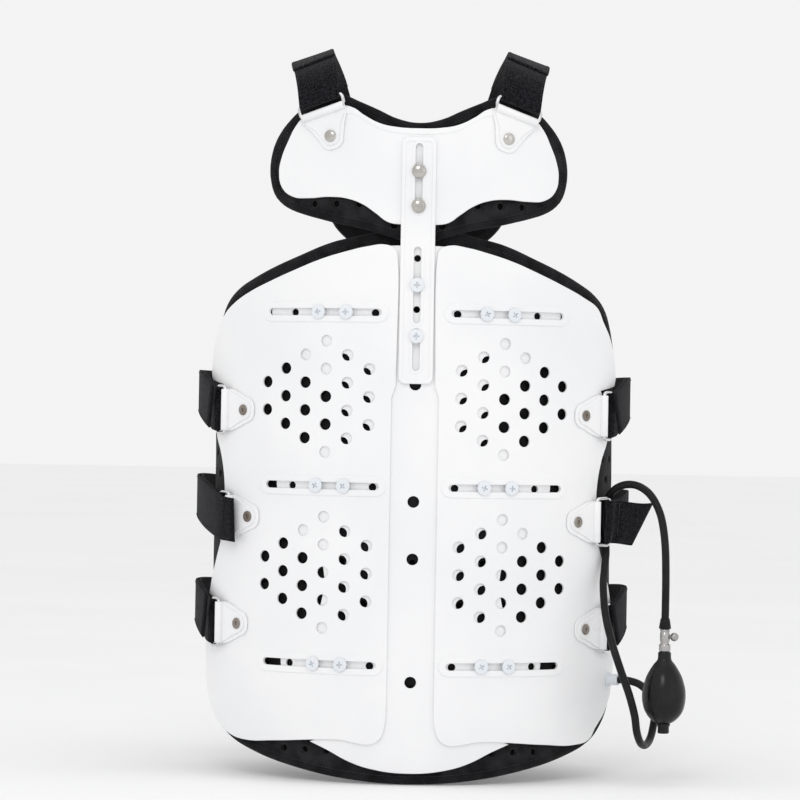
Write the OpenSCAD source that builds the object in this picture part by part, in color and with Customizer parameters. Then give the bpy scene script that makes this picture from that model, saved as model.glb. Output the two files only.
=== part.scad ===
// Thoracolumbar back brace: rigid plates, padded liners, hook-and-loop straps and an air pump.
// The wearer stands along +Z, the back plates face -Y and +X is the wearer's right-hand side.
// The plan section is an oval of four arcs. Every plate is a band at some offset from that oval.

/* [Torso section] */
// Radius of the back and front arcs, at the inner face of the plates
arc_r = 210; // [190:1:230]
// Radius of the two side arcs
side_r = 100; // [95:1:105]
// Half the width of the oval
half_w = 179; // [172:1:185]

/* [Plates] */
// Thickness of every moulded plate
plate_t = 2.5; // [2:0.1:2.8]
// Running gap between two plates that slide on each other
gap = 0.3; // [0.25:0.05:0.4]
// Thickness of the foam liners
liner_t = 5.3; // [4:0.1:7]
// Height of the raised border round each slot
border_h = 1; // [0.6:0.1:1.2]
// Width of the back strut
strut_w = 29; // [26:0.5:30]

/* [Heights] */
// Height of the three adjusting slots, top to bottom
slot_z = [179, 29, -125];
// Height of the three side straps, top to bottom
strap_z = [93, 0, -94];
// Height of the two perforated fields
field_z = [106, -46];

/* [Fasteners] */
// Head diameter of the plastic screws
head_d = 12.3; // [11:0.1:13]
// Shank diameter of the plastic screws
shank_d = 5; // [4:0.1:5.2]
// Width of the adjusting slots
slot_w = 6.1; // [5.9:0.1:6.4]
// Diameter of a ventilation hole
vent_d = 10; // [8:0.5:10.5]

/* [Straps] */
// Width of the webbing
strap_w = 38; // [36:1:40]
// Thickness of a strap
strap_t = 3; // [2:0.5:3.5]
// Diameter of the ring wire
wire_d = 3; // [2.6:0.1:3.2]

/* [Pump] */
// Outer diameter of the hose
hose_d = 6.8; // [6.5:0.1:7.2]
// Largest diameter of the bulb
bulb_d = 38; // [34:1:40]

/* [Hidden] */

$fn = 48;
side_x = half_w - side_r;
seam_a = asin(side_x / (arc_r - side_r));
arc_y = (arc_r - side_r) * cos(seam_a);

// Layers, as offsets from the oval: liner, nut, centre plate, wing and strut, screw head
liner_out = -1.7;
wing_in = plate_t + gap;
wing_out = wing_in + plate_t;
border_out = wing_out + border_h;
strut_out = wing_in + 4;
head_t = 2.2;
// Where a back arc meets a side arc, one band is thinner by this much on each face
step = 0.05;

// Heights of the screws and slots of the back strut
strut_screw_z = [203, 159];
thoracic_screw_z = [301, 271];
strut_z = [118, 330];
back_slots = [[265, 325], [170, 236], [129, 165.5]];

// Angles on the back arc, counted from the spine
slot_a = [8, 36.5];
border_a = [6.6, 38];
screw_a = [16.3, 23];
row_a = [9.6, 29.7];
vent_a0 = 10.7;
vent_step_a = 5.2;
vent_rows = [3, 4, 5, 4, 3, 2];
vent_pitch = 24;

// Side tabs: rivet angle, then the sleeve that carries the ring
tab_a = [43.5, 41.5, 44.5];
tab_len = 22;
tab_t = 2.4;
sleeve_r = 3.4;
sleeve_l = 36;
strap_in = 9;
mid_lift = 4;

// Shoulder tabs
shoulder_a = 21;
shoulder_z = 331;
shoulder_tilt = 18;

white = [0.9, 0.9, 0.91];
black = [0.06, 0.06, 0.065];
chrome = [0.75, 0.76, 0.78];

// ---- placing -------------------------------------------------------------------------------

// Local X runs round the arc to the right, local Y is up and local Z points away from the body
module on_back(a, z, o = 0) {
    translate([0, arc_y, z]) rotate([90, 0, a]) translate([0, 0, arc_r + o]) children();
}

module on_side(a, z, o = 0) {
    translate([side_x, 0, z]) rotate([90, 0, a + 90]) translate([0, 0, side_r + o]) children();
}

module on_left() {
    mirror([1, 0, 0]) children();
}

// ---- bands and outlines ----------------------------------------------------------------------

module back_band(o0, o1, z0, z1, a0 = -seam_a, a1 = seam_a) {
    translate([0, arc_y, z0]) rotate([0, 0, a0 - 90])
        rotate_extrude(angle = a1 - a0, $fn = 180)
            translate([arc_r + o0, 0]) square([o1 - o0, z1 - z0]);
}

module side_band(o0, o1, z0, z1, a0, a1) {
    translate([side_x, 0, z0]) rotate([0, 0, a0])
        rotate_extrude(angle = a1 - a0, $fn = 120)
            translate([side_r + o0, 0]) square([o1 - o0, z1 - z0]);
}

// Outline in X and Z, given as a flat child and run through the back half
module along_y() {
    rotate([90, 0, 0]) linear_extrude(260) children();
}

function mirrored(points) = concat(points, [for (i = [len(points) - 1:-1:0]) [-points[i].x, points[i].y]]);

module drill(d, from, to) {
    translate([0, 0, from]) cylinder(d = d, h = to - from);
}

// ---- fasteners -------------------------------------------------------------------------------

// Screw with a thin round head and a cross recess
module screw(o) {
    difference() {
        union() {
            drill(head_d, o, o + head_t);
            drill(shank_d, -1.4, o + 0.5);
        }
        for (a = [45, 135]) rotate(a) translate([-3.5, -0.6, o + head_t - 1]) cube([7, 1.2, 2]);
    }
}

// Flanged nut inside the plate
module nut() {
    difference() {
        drill(15, -1.6, -0.4);
        drill(shank_d + 0.1, -2, 0);
    }
}

// Tubular rivet that lets a tab turn
module rivet(o0, o1) {
    difference() {
        union() {
            drill(8, o0 - 1.2, o0 - 0.1);
            drill(4.8, o0 - 1, o1 + 0.5);
            drill(9, o1 + 0.2, o1 + 1.6);
        }
        drill(2.6, o1 - 1, o1 + 3);
    }
}

// ---- centre of the back ----------------------------------------------------------------------

spine_outline = mirrored([
    [12, 236], [60, 230], [74, 222], [74, -180], [84, -190], [62, -204], [45, -212], [22, -217]
]);

arm_reach = [127, 121, 115];
// Height and diameter of the holes down the spine
spine_holes = [[226, 5.8], [182, 5.8], [117.5, 10], [16.5, 10], [-33, 10], [-139, 10]];

module slot_row_holes() {
    for (z = slot_z, s = [-1, 1]) {
        for (a = screw_a) on_back(s * a, z) drill(shank_d + 0.4, -3, 6);
        for (a = row_a) on_back(s * a, z) drill(7, -3, 6);
    }
}

module center_plate() {
    color(white) difference() {
        intersection() {
            back_band(0, plate_t, -230, 240);
            along_y() {
                polygon(spine_outline);
                for (i = [0:2]) translate([-arm_reach[i], slot_z[i] - 15]) square([2 * arm_reach[i], 30]);
            }
        }
        slot_row_holes();
        for (z = strut_screw_z) on_back(0, z) drill(shank_d + 0.4, -3, 6);
        for (h = spine_holes) on_back(0, h[0]) drill(h[1], -3, 6);
        for (z = field_z, s = [-1, 1], row = [-1:1])
            on_back(s * (vent_a0 - 1.2), z + row * vent_pitch) drill(vent_d, -3, 6);
    }
}

// Side of the liner, seen like the flank of the wing
liner_flank = [
    [-50, 203], [-34, 194], [-16, 180], [0, 163], [18, 148], [36, 140], [47, 138], [47, -158],
    [30, -166], [8, -180], [-16, -192], [-50, -200]
];

module back_liner() {
    color(black) union() {
        intersection() {
            back_band(liner_out - liner_t, liner_out, -228, 250);
            along_y() polygon(mirrored([
                [24, 238], [26, 247], [58, 243], [83, 235], [107, 225], [131, 215], [152, 203],
                [152, -200], [104, -213], [50, -224]
            ]));
        }
        for (m = [0, 1]) mirror([m, 0, 0]) intersection() {
            side_band(liner_out - liner_t + step, liner_out - step, -200, 204, -90 + seam_a, 12);
            on_side(flank_view_a, 0, -60) linear_extrude(100) polygon(liner_flank);
        }
    }
}

module air_bladder() {
    o = liner_out - liner_t - gap;
    color([0.2, 0.2, 0.22]) back_band(o - 3, o, -90, 40, -22, 22);
}

module wing_screws() {
    color(white) for (z = slot_z, s = [-1, 1], a = screw_a) on_back(s * a, z) screw(border_out + gap);
}

module wing_nuts() {
    color(white) for (z = slot_z, s = [-1, 1], a = screw_a) on_back(s * a, z) nut();
}

module strut_screws() {
    color(white) for (z = strut_screw_z) on_back(0, z) screw(strut_out + gap);
}

module strut_nuts() {
    color(white) for (z = strut_screw_z) on_back(0, z) nut();
}

// ---- wings -----------------------------------------------------------------------------------

// Back half of the right wing, from the spine to the seam with the side arc
wing_outline = [
    [16.5, 228], [27, 237], [35, 236.5], [59, 232], [83, 225], [105, 216], [127, 206], [149, 195],
    [160, 186], [160, -190], [146, -195], [80, -190.5], [60, -190], [34, -193], [26, -189],
    [20.5, -172], [20, 110], [16.5, 116]
];

// Flank of the wing, seen square to the side at 20 degrees behind the widest point
flank_view_a = -20;
flank_outline = [
    [-50, 197], [-36, 188], [-19, 177], [-5, 162], [6, 143], [10, 124], [4, 116], [-19, 115],
    [-8, 76], [-18, 55], [-24, 34], [-24, -10], [-12, -37], [-1, -57], [14, -95], [17, -118],
    [14, -143], [-4, -166], [-21, -182], [-36, -191], [-50, -196]
];

module flank(shift) {
    shifted = [for (p = flank_outline) [p.x <= -50 ? p.x : max(-46, p.x + shift), p.y]];
    intersection() {
        side_band(wing_in + step, wing_out - step, -200, 200, -90 + seam_a, 10);
        on_side(flank_view_a, 0, -60) linear_extrude(100) polygon(shifted);
    }
}

module slot_cut(z) {
    back_band(0, 12, z - slot_w / 2, z + slot_w / 2, slot_a[0], slot_a[1]);
}

module vents() {
    for (z = field_z, col = [0:len(vent_rows) - 1]) {
        n = vent_rows[col];
        for (row = [0:n - 1])
            on_back(vent_a0 + col * vent_step_a, z + (row - (n - 1) / 2) * vent_pitch)
                drill(vent_d, 0, 10);
    }
}

module wing(shift) {
    difference() {
        union() {
            intersection() {
                back_band(wing_in, wing_out, -200, 240, 3, seam_a);
                along_y() polygon(wing_outline);
            }
            flank(shift);
            for (z = slot_z)
                back_band(wing_out - 0.5, border_out, z - 8.5, z + 8.5, border_a[0], border_a[1]);
        }
        for (z = slot_z) slot_cut(z);
        vents();
        for (i = [0:2]) on_back(tab_a[i], strap_z[i]) drill(5, 0, 10);
    }
}

module wing_right() {
    color(white) wing(-8);
}

module wing_left() {
    color(white) on_left() wing(0);
}

module wing_rivets() {
    color(chrome) for (i = [0:2]) on_back(tab_a[i], strap_z[i]) rivet(wing_in, wing_out + gap + tab_t);
}

// ---- tabs, rings and side straps -------------------------------------------------------------

// Folded tab: flat leaf with a rivet hole, and a sleeve along Y at the far end
module tab(length, sleeve) {
    difference() {
        union() {
            cylinder(d = 19, h = tab_t);
            linear_extrude(tab_t) polygon([
                [-2, -9], [length - 4, -sleeve / 2], [length, -sleeve / 2],
                [length, sleeve / 2], [length - 4, sleeve / 2], [-2, 9]
            ]);
            translate([length, sleeve / 2, sleeve_r]) rotate([90, 0, 0]) cylinder(r = sleeve_r, h = sleeve);
        }
        drill(5, -1, tab_t + 1);
        translate([length, sleeve, sleeve_r]) rotate([90, 0, 0]) cylinder(d = wire_d + 0.5, h = 2 * sleeve);
    }
}

// Rectangular wire ring: one leg at the origin along Y, the other a gap away along X
module ring(width, spread) {
    for (x = [0, spread])
        translate([x, width / 2 + 1.6, 0]) rotate([90, 0, 0]) cylinder(d = wire_d, h = width + 3.2);
    for (y = [-width / 2, width / 2])
        translate([0, y, 0]) rotate([0, 90, 0]) cylinder(d = wire_d - 0.3, h = spread);
}

module side_tab(i) {
    on_back(tab_a[i], strap_z[i], wing_out + gap) tab(tab_len, sleeve_l);
}

// Plan position of the sleeve's axis of tab i, and the angle of its ring
function sleeve_at(i) = let (a = tab_a[i], r = arc_r + wing_out + gap + sleeve_r)
    [r * sin(a) + tab_len * cos(a), arc_y - r * cos(a) + tab_len * sin(a)];
function lift(i, right) = right && i == 1 ? mid_lift : 0;
function leg_at(i, right) = let (p = sleeve_at(i), o = strap_in + strap_t / 2 + lift(i, right),
    a = atan2(p.y, p.x - side_x) + 6.5) [side_x + (side_r + o) * cos(a), (side_r + o) * sin(a)];

module side_ring(i, right) {
    p = sleeve_at(i);
    q = leg_at(i, right);
    translate([p.x, p.y, strap_z[i]]) rotate([90, 0, atan2(q.y - p.y, q.x - p.x)])
        ring(strap_w + 5, norm(q - p));
}

// Angle from the ring's leg to the start of the flat strap, and the angle where its front end stops
loop_clear_a = 1.3;
strap_end_a = 17;

module side_strap(i, right) {
    z0 = strap_z[i] - strap_w / 2;
    z1 = strap_z[i] + strap_w / 2;
    q = leg_at(i, right);
    o = strap_in + lift(i, right);
    start = atan2(q.y, q.x - side_x);
    difference() {
        union() {
            translate([q.x, q.y, z0 + 0.5]) cylinder(r = sleeve_r, h = strap_w - 1);
            side_band(o, o + strap_t, z0, z1, start + loop_clear_a, 90 - seam_a);
            mirror([0, 1, 0])
                back_band(o + step, o + strap_t - step, z0 + step, z1 - step, strap_end_a, seam_a);
        }
        translate([q.x, q.y, z0 - 1]) cylinder(d = wire_d + 0.5, h = strap_w + 2);
    }
}

// ---- upper back ------------------------------------------------------------------------------

// Outline of a strut: a bar between two heights with cut corners
function bar(z0, z1, half, cut) = [
    [-half, z0 + cut], [cut - half, z0], [half - cut, z0], [half, z0 + cut],
    [half, z1 - cut], [half - cut, z1], [cut - half, z1], [-half, z1 - cut]
];

module strut_slots(spans) {
    for (span = spans)
        translate([-slot_w / 2, -150, span[0]]) cube([slot_w, 30, span[1] - span[0]]);
}

module back_strut() {
    z0 = strut_z[0];
    z1 = strut_z[1];
    color(white) difference() {
        union() {
            intersection() {
                back_band(wing_in, strut_out - 0.6, z0, z1, -8, 8);
                along_y() polygon(bar(z0, z1, strut_w / 2, 5));
            }
            back_band(wing_in + 1, strut_out, z0 + 3, z1 - 3, -3.2, 3.2);
        }
        strut_slots(back_slots);
    }
}

module thoracic_plate() {
    color(white) difference() {
        intersection() {
            back_band(0, plate_t, 250, 362);
            along_y() polygon(mirrored([
                [22, 339], [42, 344], [58, 356], [66, 358], [100, 349], [110, 341], [119, 324],
                [124, 306], [122, 290], [110, 279], [70, 278], [52, 274], [32, 262], [16, 256]
            ]));
        }
        for (z = thoracic_screw_z) on_back(0, z) drill(shank_d + 0.4, -3, 6);
        for (s = [-1, 1]) on_back(s * shoulder_a, shoulder_z) drill(5, -3, 6);
    }
}

module thoracic_liner() {
    color(black) intersection() {
        back_band(liner_out - liner_t, liner_out, 240, 372);
        along_y() polygon(mirrored([
            [24, 345], [44, 350], [58, 362], [68, 366], [102, 357], [114, 348], [126, 326], [130, 306],
            [128, 286], [110, 270], [72, 266], [44, 259], [26, 254]
        ]));
    }
}

module thoracic_screws() {
    color(chrome) for (z = thoracic_screw_z) on_back(0, z) screw(strut_out + gap);
}

module thoracic_nuts() {
    color(chrome) for (z = thoracic_screw_z) on_back(0, z) nut();
}

module shoulder_rivets() {
    color(chrome) for (s = [-1, 1])
        on_back(s * shoulder_a, shoulder_z) rivet(0, plate_t + gap + tab_t);
}

module shoulder_frame() {
    on_back(shoulder_a, shoulder_z, plate_t + gap) rotate(90 - shoulder_tilt) children();
}

shoulder_gap = 10;

module shoulder_tab() {
    shoulder_frame() tab(tab_len, 40);
}

module shoulder_ring() {
    shoulder_frame() translate([tab_len, 0, sleeve_r]) ring(strap_w + 5, shoulder_gap);
}

// Shoulder strap: a ribbon over the shoulder. Each station is its centre, width angle and lean
shoulder_path = [
    [87, -122, 361], [88, -123, 368], [90, -121, 380], [94, -112, 395], [98, -95, 406], [101, -70, 411],
    [102, -30, 414], [100, 20, 414], [95, 65, 409], [88, 98, 395], [80, 118, 372], [73, 130, 345],
    [68, 135, 320], [66, 135, 296]
];
shoulder_yaw = [21, 21, 18, 14, 10, 6, 2, -2, -6, -10, -14, -17, -17, -17];
shoulder_lean = [18, 18, 18, 18, 18, 17, 16, 16, 15, 12, 9, 6, 4, 2];

// Triangles between the rings of a swept solid, n rings of a given number of points
function walls(n, sides) = [for (i = [0:n - 2], k = [0:sides - 1], half = [0, 1])
    let (a = sides * i + k, b = sides * i + (k + 1) % sides)
    half == 0 ? [a, b, b + sides] : [a, b + sides, a + sides]];

module ribbon(path, yaw, lean, width, thick) {
    n = len(path);
    along = [for (i = [0:n - 1]) let (d = path[min(i + 1, n - 1)] - path[max(i - 1, 0)]) d / norm(d)];
    across = [for (i = [0:n - 1])
        let (w = [cos(yaw[i]) * cos(lean[i]), sin(yaw[i]) * cos(lean[i]), -sin(lean[i])],
             v = w - along[i] * (w * along[i])) v / norm(v)];
    out = [for (i = [0:n - 1]) cross(along[i], across[i])];
    points = [for (i = [0:n - 1], k = [[-1, 1], [1, 1], [1, -1], [-1, -1]])
        path[i] + across[i] * k[0] * width / 2 + out[i] * k[1] * thick / 2];
    polyhedron(points, concat([[3, 2, 1, 0]], walls(n, 4), [[for (k = [0:3]) 4 * n - 4 + k]]));
}

module shoulder_strap() {
    difference() {
        union() {
            ribbon(shoulder_path, shoulder_yaw, shoulder_lean, strap_w, strap_t);
            shoulder_frame() translate([tab_len + shoulder_gap, strap_w / 2, sleeve_r])
                rotate([90, 0, 0]) cylinder(r = sleeve_r, h = strap_w);
        }
        shoulder_frame() translate([tab_len + shoulder_gap, strap_w, sleeve_r])
            rotate([90, 0, 0]) cylinder(d = wire_d + 0.5, h = 2 * strap_w);
    }
}

// ---- front -----------------------------------------------------------------------------------

front_strut_z = [44, 322];
front_slots = [[250, 312], [52, 118]];
front_screw_z = [96, 60];
sternal_screw_z = [296, 266];

module front_half() {
    mirror([0, 1, 0]) children();
}

module front_plate() {
    color(white) front_half() difference() {
        intersection() {
            back_band(0, plate_t, -150, 130);
            along_y() polygon(mirrored([
                [30, 118], [80, 122], [104, 108], [110, 80], [104, 10], [108, -60], [110, -110],
                [96, -132], [60, -142]
            ]));
        }
        for (z = front_screw_z) on_back(0, z) drill(shank_d + 0.4, -3, 6);
    }
}

module front_liner() {
    color(black) front_half() intersection() {
        back_band(liner_out - liner_t, liner_out, -162, 136);
        along_y() polygon(mirrored([
            [30, 126], [84, 132], [114, 116], [122, 84], [116, 10], [120, -60], [122, -114],
            [106, -142], [64, -154]
        ]));
    }
}

module front_strut() {
    z0 = front_strut_z[0];
    z1 = front_strut_z[1];
    color(white) front_half() difference() {
        intersection() {
            back_band(wing_in, strut_out, z0, z1, -8, 8);
            along_y() polygon(bar(z0, z1, strut_w / 2, 6));
        }
        strut_slots(front_slots);
    }
}

module sternal_plate() {
    color(white) front_half() difference() {
        intersection() {
            back_band(0, plate_t, 240, 330);
            along_y() polygon(mirrored([[30, 328], [66, 322], [78, 308], [76, 282], [58, 262], [24, 250]]));
        }
        for (z = sternal_screw_z) on_back(0, z) drill(shank_d + 0.4, -3, 6);
    }
}

module sternal_liner() {
    color(black) front_half() intersection() {
        back_band(liner_out - liner_t, liner_out, 236, 340);
        along_y() polygon(mirrored([[32, 336], [70, 330], [86, 312], [84, 278], [62, 254], [26, 241]]));
    }
}

module front_screws(heights) {
    color(white) front_half() for (z = heights) on_back(0, z) screw(strut_out + gap);
}

module front_nuts(heights) {
    color(white) front_half() for (z = heights) on_back(0, z) nut();
}

// Pairs of hook patches, between two angles either side of the middle
module hook_patches(heights, half_h, a0, a1) {
    o = plate_t + 0.2;
    color(black) front_half() for (z = heights, m = [0, 1]) mirror([m, 0, 0])
        back_band(o, o + 1.2, z - half_h, z + half_h, a0, a1);
}

// ---- pump ------------------------------------------------------------------------------------

grommet_a = -24;
grommet_z = -140;
hose_route = [
    [184.5, -47, -140], [191, -50, -140], [203, -55, -143.4], [212.3, -59, -153], [216, -61, -166],
    [214.5, -65, -180], [211, -74.5, -190], [206, -87.2, -193.8], [201, -100, -190], [197.3, -109.5, -180],
    [195, -113, -166], [190, -113, -148], [182.5, -108.5, -127], [175, -101.5, -104],
    [169.5, -91, -80], [168, -76, -56], [169.6, -65, -40], [170.8, -58.4, -26], [170, -54, -13],
    [168.8, -51.2, -3], [168.6, -50.4, 6.5], [171, -52.4, 18.4], [176.7, -57.5, 27.4],
    [183.3, -63.7, 32], [191, -71, 33.4], [198.6, -78.4, 31.6], [206.2, -85.6, 26], [212.4, -91.5, 16.4],
    [217.1, -96.2, 2.6], [220, -99.2, -19], [221, -100, -48], [221, -100, -82]
];

function spline(a, b, c, d, t) = (b * 2 + (c - a) * t + (a * 2 - b * 5 + c * 4 - d) * t * t
    + (b * 3 - a - c * 3 + d) * t * t * t) / 2;
function smooth(points, steps) = let (n = len(points) - 1) concat(
    [for (i = [0:n - 1], k = [0:steps - 1])
        spline(points[max(i - 1, 0)], points[i], points[i + 1], points[min(i + 2, n)], k / steps)],
    [points[n]]
);

module tube(path, d, sides = 10) {
    n = len(path);
    along = [for (i = [0:n - 1]) let (v = path[min(i + 1, n - 1)] - path[max(i - 1, 0)]) v / norm(v)];
    lateral = [for (i = [0:n - 1]) let (u = cross(along[i], [1, 1, 0.2])) u / norm(u)];
    points = [for (i = [0:n - 1], k = [0:sides - 1]) let (u = lateral[i], w = cross(along[i], u))
        path[i] + (u * cos(360 * k / sides) + w * sin(360 * k / sides)) * d / 2];
    polyhedron(points, concat([[for (k = [sides - 1:-1:0]) k]], walls(n, sides),
        [[for (k = [0:sides - 1]) sides * (n - 1) + k]]));
}

module hose() {
    color(black) tube(smooth(hose_route, 2), hose_d);
}

module hose_grommet() {
    color(white) on_side(grommet_a, grommet_z) {
        drill(13, wing_out, wing_out + 2);
        drill(10, wing_out + 1, 15.4);
    }
}

pump_x = 221;
pump_y = -100;
hose_end_z = -82;

module on_pump(z) {
    translate([pump_x, pump_y, z]) children();
}

module hose_ferrule() {
    color(black) on_pump(hose_end_z - 9) cylinder(d1 = 9, d2 = 10.5, h = 9);
}

module valve_body() {
    color(chrome) difference() {
        on_pump(hose_end_z - 29) {
            translate([0, 0, 5]) cylinder(d = 8.4, h = 15);
            cylinder(d = 10, h = 5);
        }
        on_pump(hose_end_z - 16) rotate([0, 90, 0]) cylinder(d = 3.2, h = 12);
    }
}

module valve_knob() {
    color(chrome) on_pump(hose_end_z - 16) {
        translate([1.5, 0, 0]) rotate([0, 90, 0]) cylinder(d = 3, h = 6);
        translate([8.2, 0, 0]) sphere(d = 7.6);
    }
}

bulb_top = hose_end_z - 29;
bulb_profile = [
    [5, 0], [5.6, -5], [8.5, -9], [13, -16], [17, -26], [19, -37], [18, -46], [14, -55], [8, -61], [6, -62]
];

module pump_bulb() {
    color(black) on_pump(bulb_top) rotate_extrude($fn = 64)
        polygon(concat([[0, 0]], [for (p = bulb_profile) [p.x * bulb_d / 38, p.y]], [[0, -62]]));
}

module inlet_cap() {
    color(black) on_pump(bulb_top - 71) cylinder(d = 10, h = 9);
}

// ---- nodes -----------------------------------------------------------------------------------

center_plate();
back_liner();
air_bladder();
wing_screws();
wing_nuts();
strut_screws();
strut_nuts();
wing_left();
wing_right();
on_left() wing_rivets();  // wing_rivets_left
wing_rivets();  // wing_rivets_right
color(white) on_left() side_tab(0);  // tab_left_top
color(white) on_left() side_tab(1);  // tab_left_mid
color(white) on_left() side_tab(2);  // tab_left_low
color(white) side_tab(0);  // tab_right_top
color(white) side_tab(1);  // tab_right_mid
color(white) side_tab(2);  // tab_right_low
color(chrome) on_left() side_ring(0, false);  // ring_left_top
color(chrome) on_left() side_ring(1, false);  // ring_left_mid
color(chrome) on_left() side_ring(2, false);  // ring_left_low
color(chrome) side_ring(0, true);  // ring_right_top
color(chrome) side_ring(1, true);  // ring_right_mid
color(chrome) side_ring(2, true);  // ring_right_low
color(black) on_left() side_strap(0, false);  // strap_left_top
color(black) on_left() side_strap(1, false);  // strap_left_mid
color(black) on_left() side_strap(2, false);  // strap_left_low
color(black) side_strap(0, true);  // strap_right_top
color(black) side_strap(1, true);  // strap_right_mid
color(black) side_strap(2, true);  // strap_right_low
back_strut();
thoracic_plate();
thoracic_liner();
thoracic_screws();
thoracic_nuts();
shoulder_rivets();
color(white) on_left() shoulder_tab();  // shoulder_tab_left
color(white) shoulder_tab();  // shoulder_tab_right
color(chrome) on_left() shoulder_ring();  // shoulder_ring_left
color(chrome) shoulder_ring();  // shoulder_ring_right
color(black) on_left() shoulder_strap();  // shoulder_strap_left
color(black) shoulder_strap();  // shoulder_strap_right
front_plate();
front_liner();
front_strut();
sternal_plate();
sternal_liner();
front_screws(front_screw_z);
front_nuts(front_screw_z);
hook_patches(strap_z, 22, 14, 26);  // front_patches
front_screws(sternal_screw_z);  // sternal_screws
front_nuts(sternal_screw_z);  // sternal_nuts
hook_patches([301], 17, 12, 20);  // sternal_patches
hose_grommet();
hose();
hose_ferrule();
valve_body();
valve_knob();
pump_bulb();
inlet_cap();
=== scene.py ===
"""Looks of the back brace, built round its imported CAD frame.

Shapes are given in millimetres. Plates and liners are drawn flat, with u round the body from the
spine and v up, and are then wrapped on the oval that the CAD plates follow.
"""
import bmesh
import bpy
import numpy as np
from math import asin, atan2, ceil, copysign, cos, exp, floor, pi, radians, sin, sqrt
from mathutils import Matrix, Vector


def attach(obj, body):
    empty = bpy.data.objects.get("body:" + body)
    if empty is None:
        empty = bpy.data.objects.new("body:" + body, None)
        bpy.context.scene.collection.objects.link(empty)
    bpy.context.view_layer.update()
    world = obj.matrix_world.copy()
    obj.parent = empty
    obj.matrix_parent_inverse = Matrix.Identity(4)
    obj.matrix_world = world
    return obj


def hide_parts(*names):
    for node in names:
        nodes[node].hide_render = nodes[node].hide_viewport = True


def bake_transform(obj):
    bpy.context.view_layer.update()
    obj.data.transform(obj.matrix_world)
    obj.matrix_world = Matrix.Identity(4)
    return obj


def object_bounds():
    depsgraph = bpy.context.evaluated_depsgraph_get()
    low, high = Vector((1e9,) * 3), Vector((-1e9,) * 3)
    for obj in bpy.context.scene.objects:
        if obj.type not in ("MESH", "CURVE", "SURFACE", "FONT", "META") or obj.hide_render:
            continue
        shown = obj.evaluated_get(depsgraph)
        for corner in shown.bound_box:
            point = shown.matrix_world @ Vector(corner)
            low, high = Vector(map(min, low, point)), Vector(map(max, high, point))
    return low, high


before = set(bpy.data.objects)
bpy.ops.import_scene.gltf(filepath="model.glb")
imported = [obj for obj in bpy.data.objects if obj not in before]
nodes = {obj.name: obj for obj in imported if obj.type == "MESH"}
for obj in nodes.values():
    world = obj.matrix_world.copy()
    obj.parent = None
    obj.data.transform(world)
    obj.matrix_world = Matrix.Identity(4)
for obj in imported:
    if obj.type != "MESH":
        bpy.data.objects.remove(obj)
cad_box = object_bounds()
MM = 0.001
MIRROR = Matrix.Diagonal((-1, 1, 1, 1))

# Plan section, as in the CAD model
ARC_R = 210
SIDE_R = 100
HALF_W = 179
SIDE_X = HALF_W - SIDE_R
SEAM = asin(SIDE_X / (ARC_R - SIDE_R))
ARC_Y = (ARC_R - SIDE_R) * cos(SEAM)
BACK_LEN = ARC_R * SEAM
SIDE_LEN = SIDE_R * (pi - 2 * SEAM)

# Layers, as offsets from the oval
PLATE_T = 2.5
WING_IN = 2.8
WING_OUT = WING_IN + PLATE_T
LINER_OUT = -1.7
LINER_T = 5.3
GAP = 0.3

# Heights shared by the wings, the screws and the straps
SLOT_Z = (179, 29, -125)
STRAP_Z = (93, 0, -94)
FIELD_Z = (106, -46)
ROWS = ("top", "mid", "low")
SIDES = (("left", -1), ("right", 1))

# Places of the tabs: angle round the back, and height and turn for those of the shoulders
TAB_A = (43.5, 41.5, 44.5)
SHOULDER_TAB = (21, 331)
SHOULDER_TURN = 72


def new_object(name, data):
    made = bpy.data.objects.new(name, data)
    bpy.context.scene.collection.objects.link(made)
    return made


# ---- camera, stage and light -------------------------------------------------------------------

def make_camera():
    """Straight behind the brace, far off, with the small roll of a hand-held picture."""
    target = Vector((-0.013, -0.1, 0.104))
    distance = 3.2
    seen_width = 0.696
    camera = bpy.data.cameras.new("camera")
    camera.sensor_width = 36
    camera.lens = camera.sensor_width * distance / seen_width
    camera.clip_end = 50
    holder = new_object("camera", camera)
    holder.location = target - Vector((0, distance, 0))
    holder.rotation_euler = (radians(90), radians(-1.0), 0)
    bpy.context.scene.camera = holder


def make_stage():
    """Wide pale floor under the lowest edge of the liner's binding."""
    reach = 14
    binding_below = 0.0035
    low = cad_box[0][2] - binding_below
    corners = ((-reach, -reach), (reach, -reach), (reach, reach), (-reach, reach))
    bm = bmesh.new()
    bm.faces.new([bm.verts.new((x, y, low)) for x, y in corners])
    ground = mesh_object("floor", bm)
    ground.data.materials.append(stage_paint())


def add_light(name, place, size, power):
    target = (0, 0, 0.1)
    lamp = bpy.data.lights.new(name, "AREA")
    lamp.shape = "RECTANGLE"
    lamp.size, lamp.size_y = size
    lamp.energy = power
    holder = new_object(name, lamp)
    holder.location = place
    holder.rotation_euler = (Vector(target) - Vector(place)).to_track_quat("-Z", "Y").to_euler()


def make_light():
    world = bpy.data.worlds.new("studio")
    world.use_nodes = True
    background = world.node_tree.nodes["Background"]
    background.inputs["Color"].default_value = (1, 1, 1, 1)
    background.inputs["Strength"].default_value = 0.9
    bpy.context.scene.world = world
    add_light("key", (-0.35, -2.3, 1.6), (0.8, 0.8), 9)
    add_light("fill", (1.7, -1.5, 0.5), (1.0, 1.6), 1.5)
    add_light("top", (0.1, -0.2, 2.0), (1.2, 0.8), 2.5)
    bpy.context.scene.view_settings.view_transform = "Standard"


# ---- materials ---------------------------------------------------------------------------------

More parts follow.
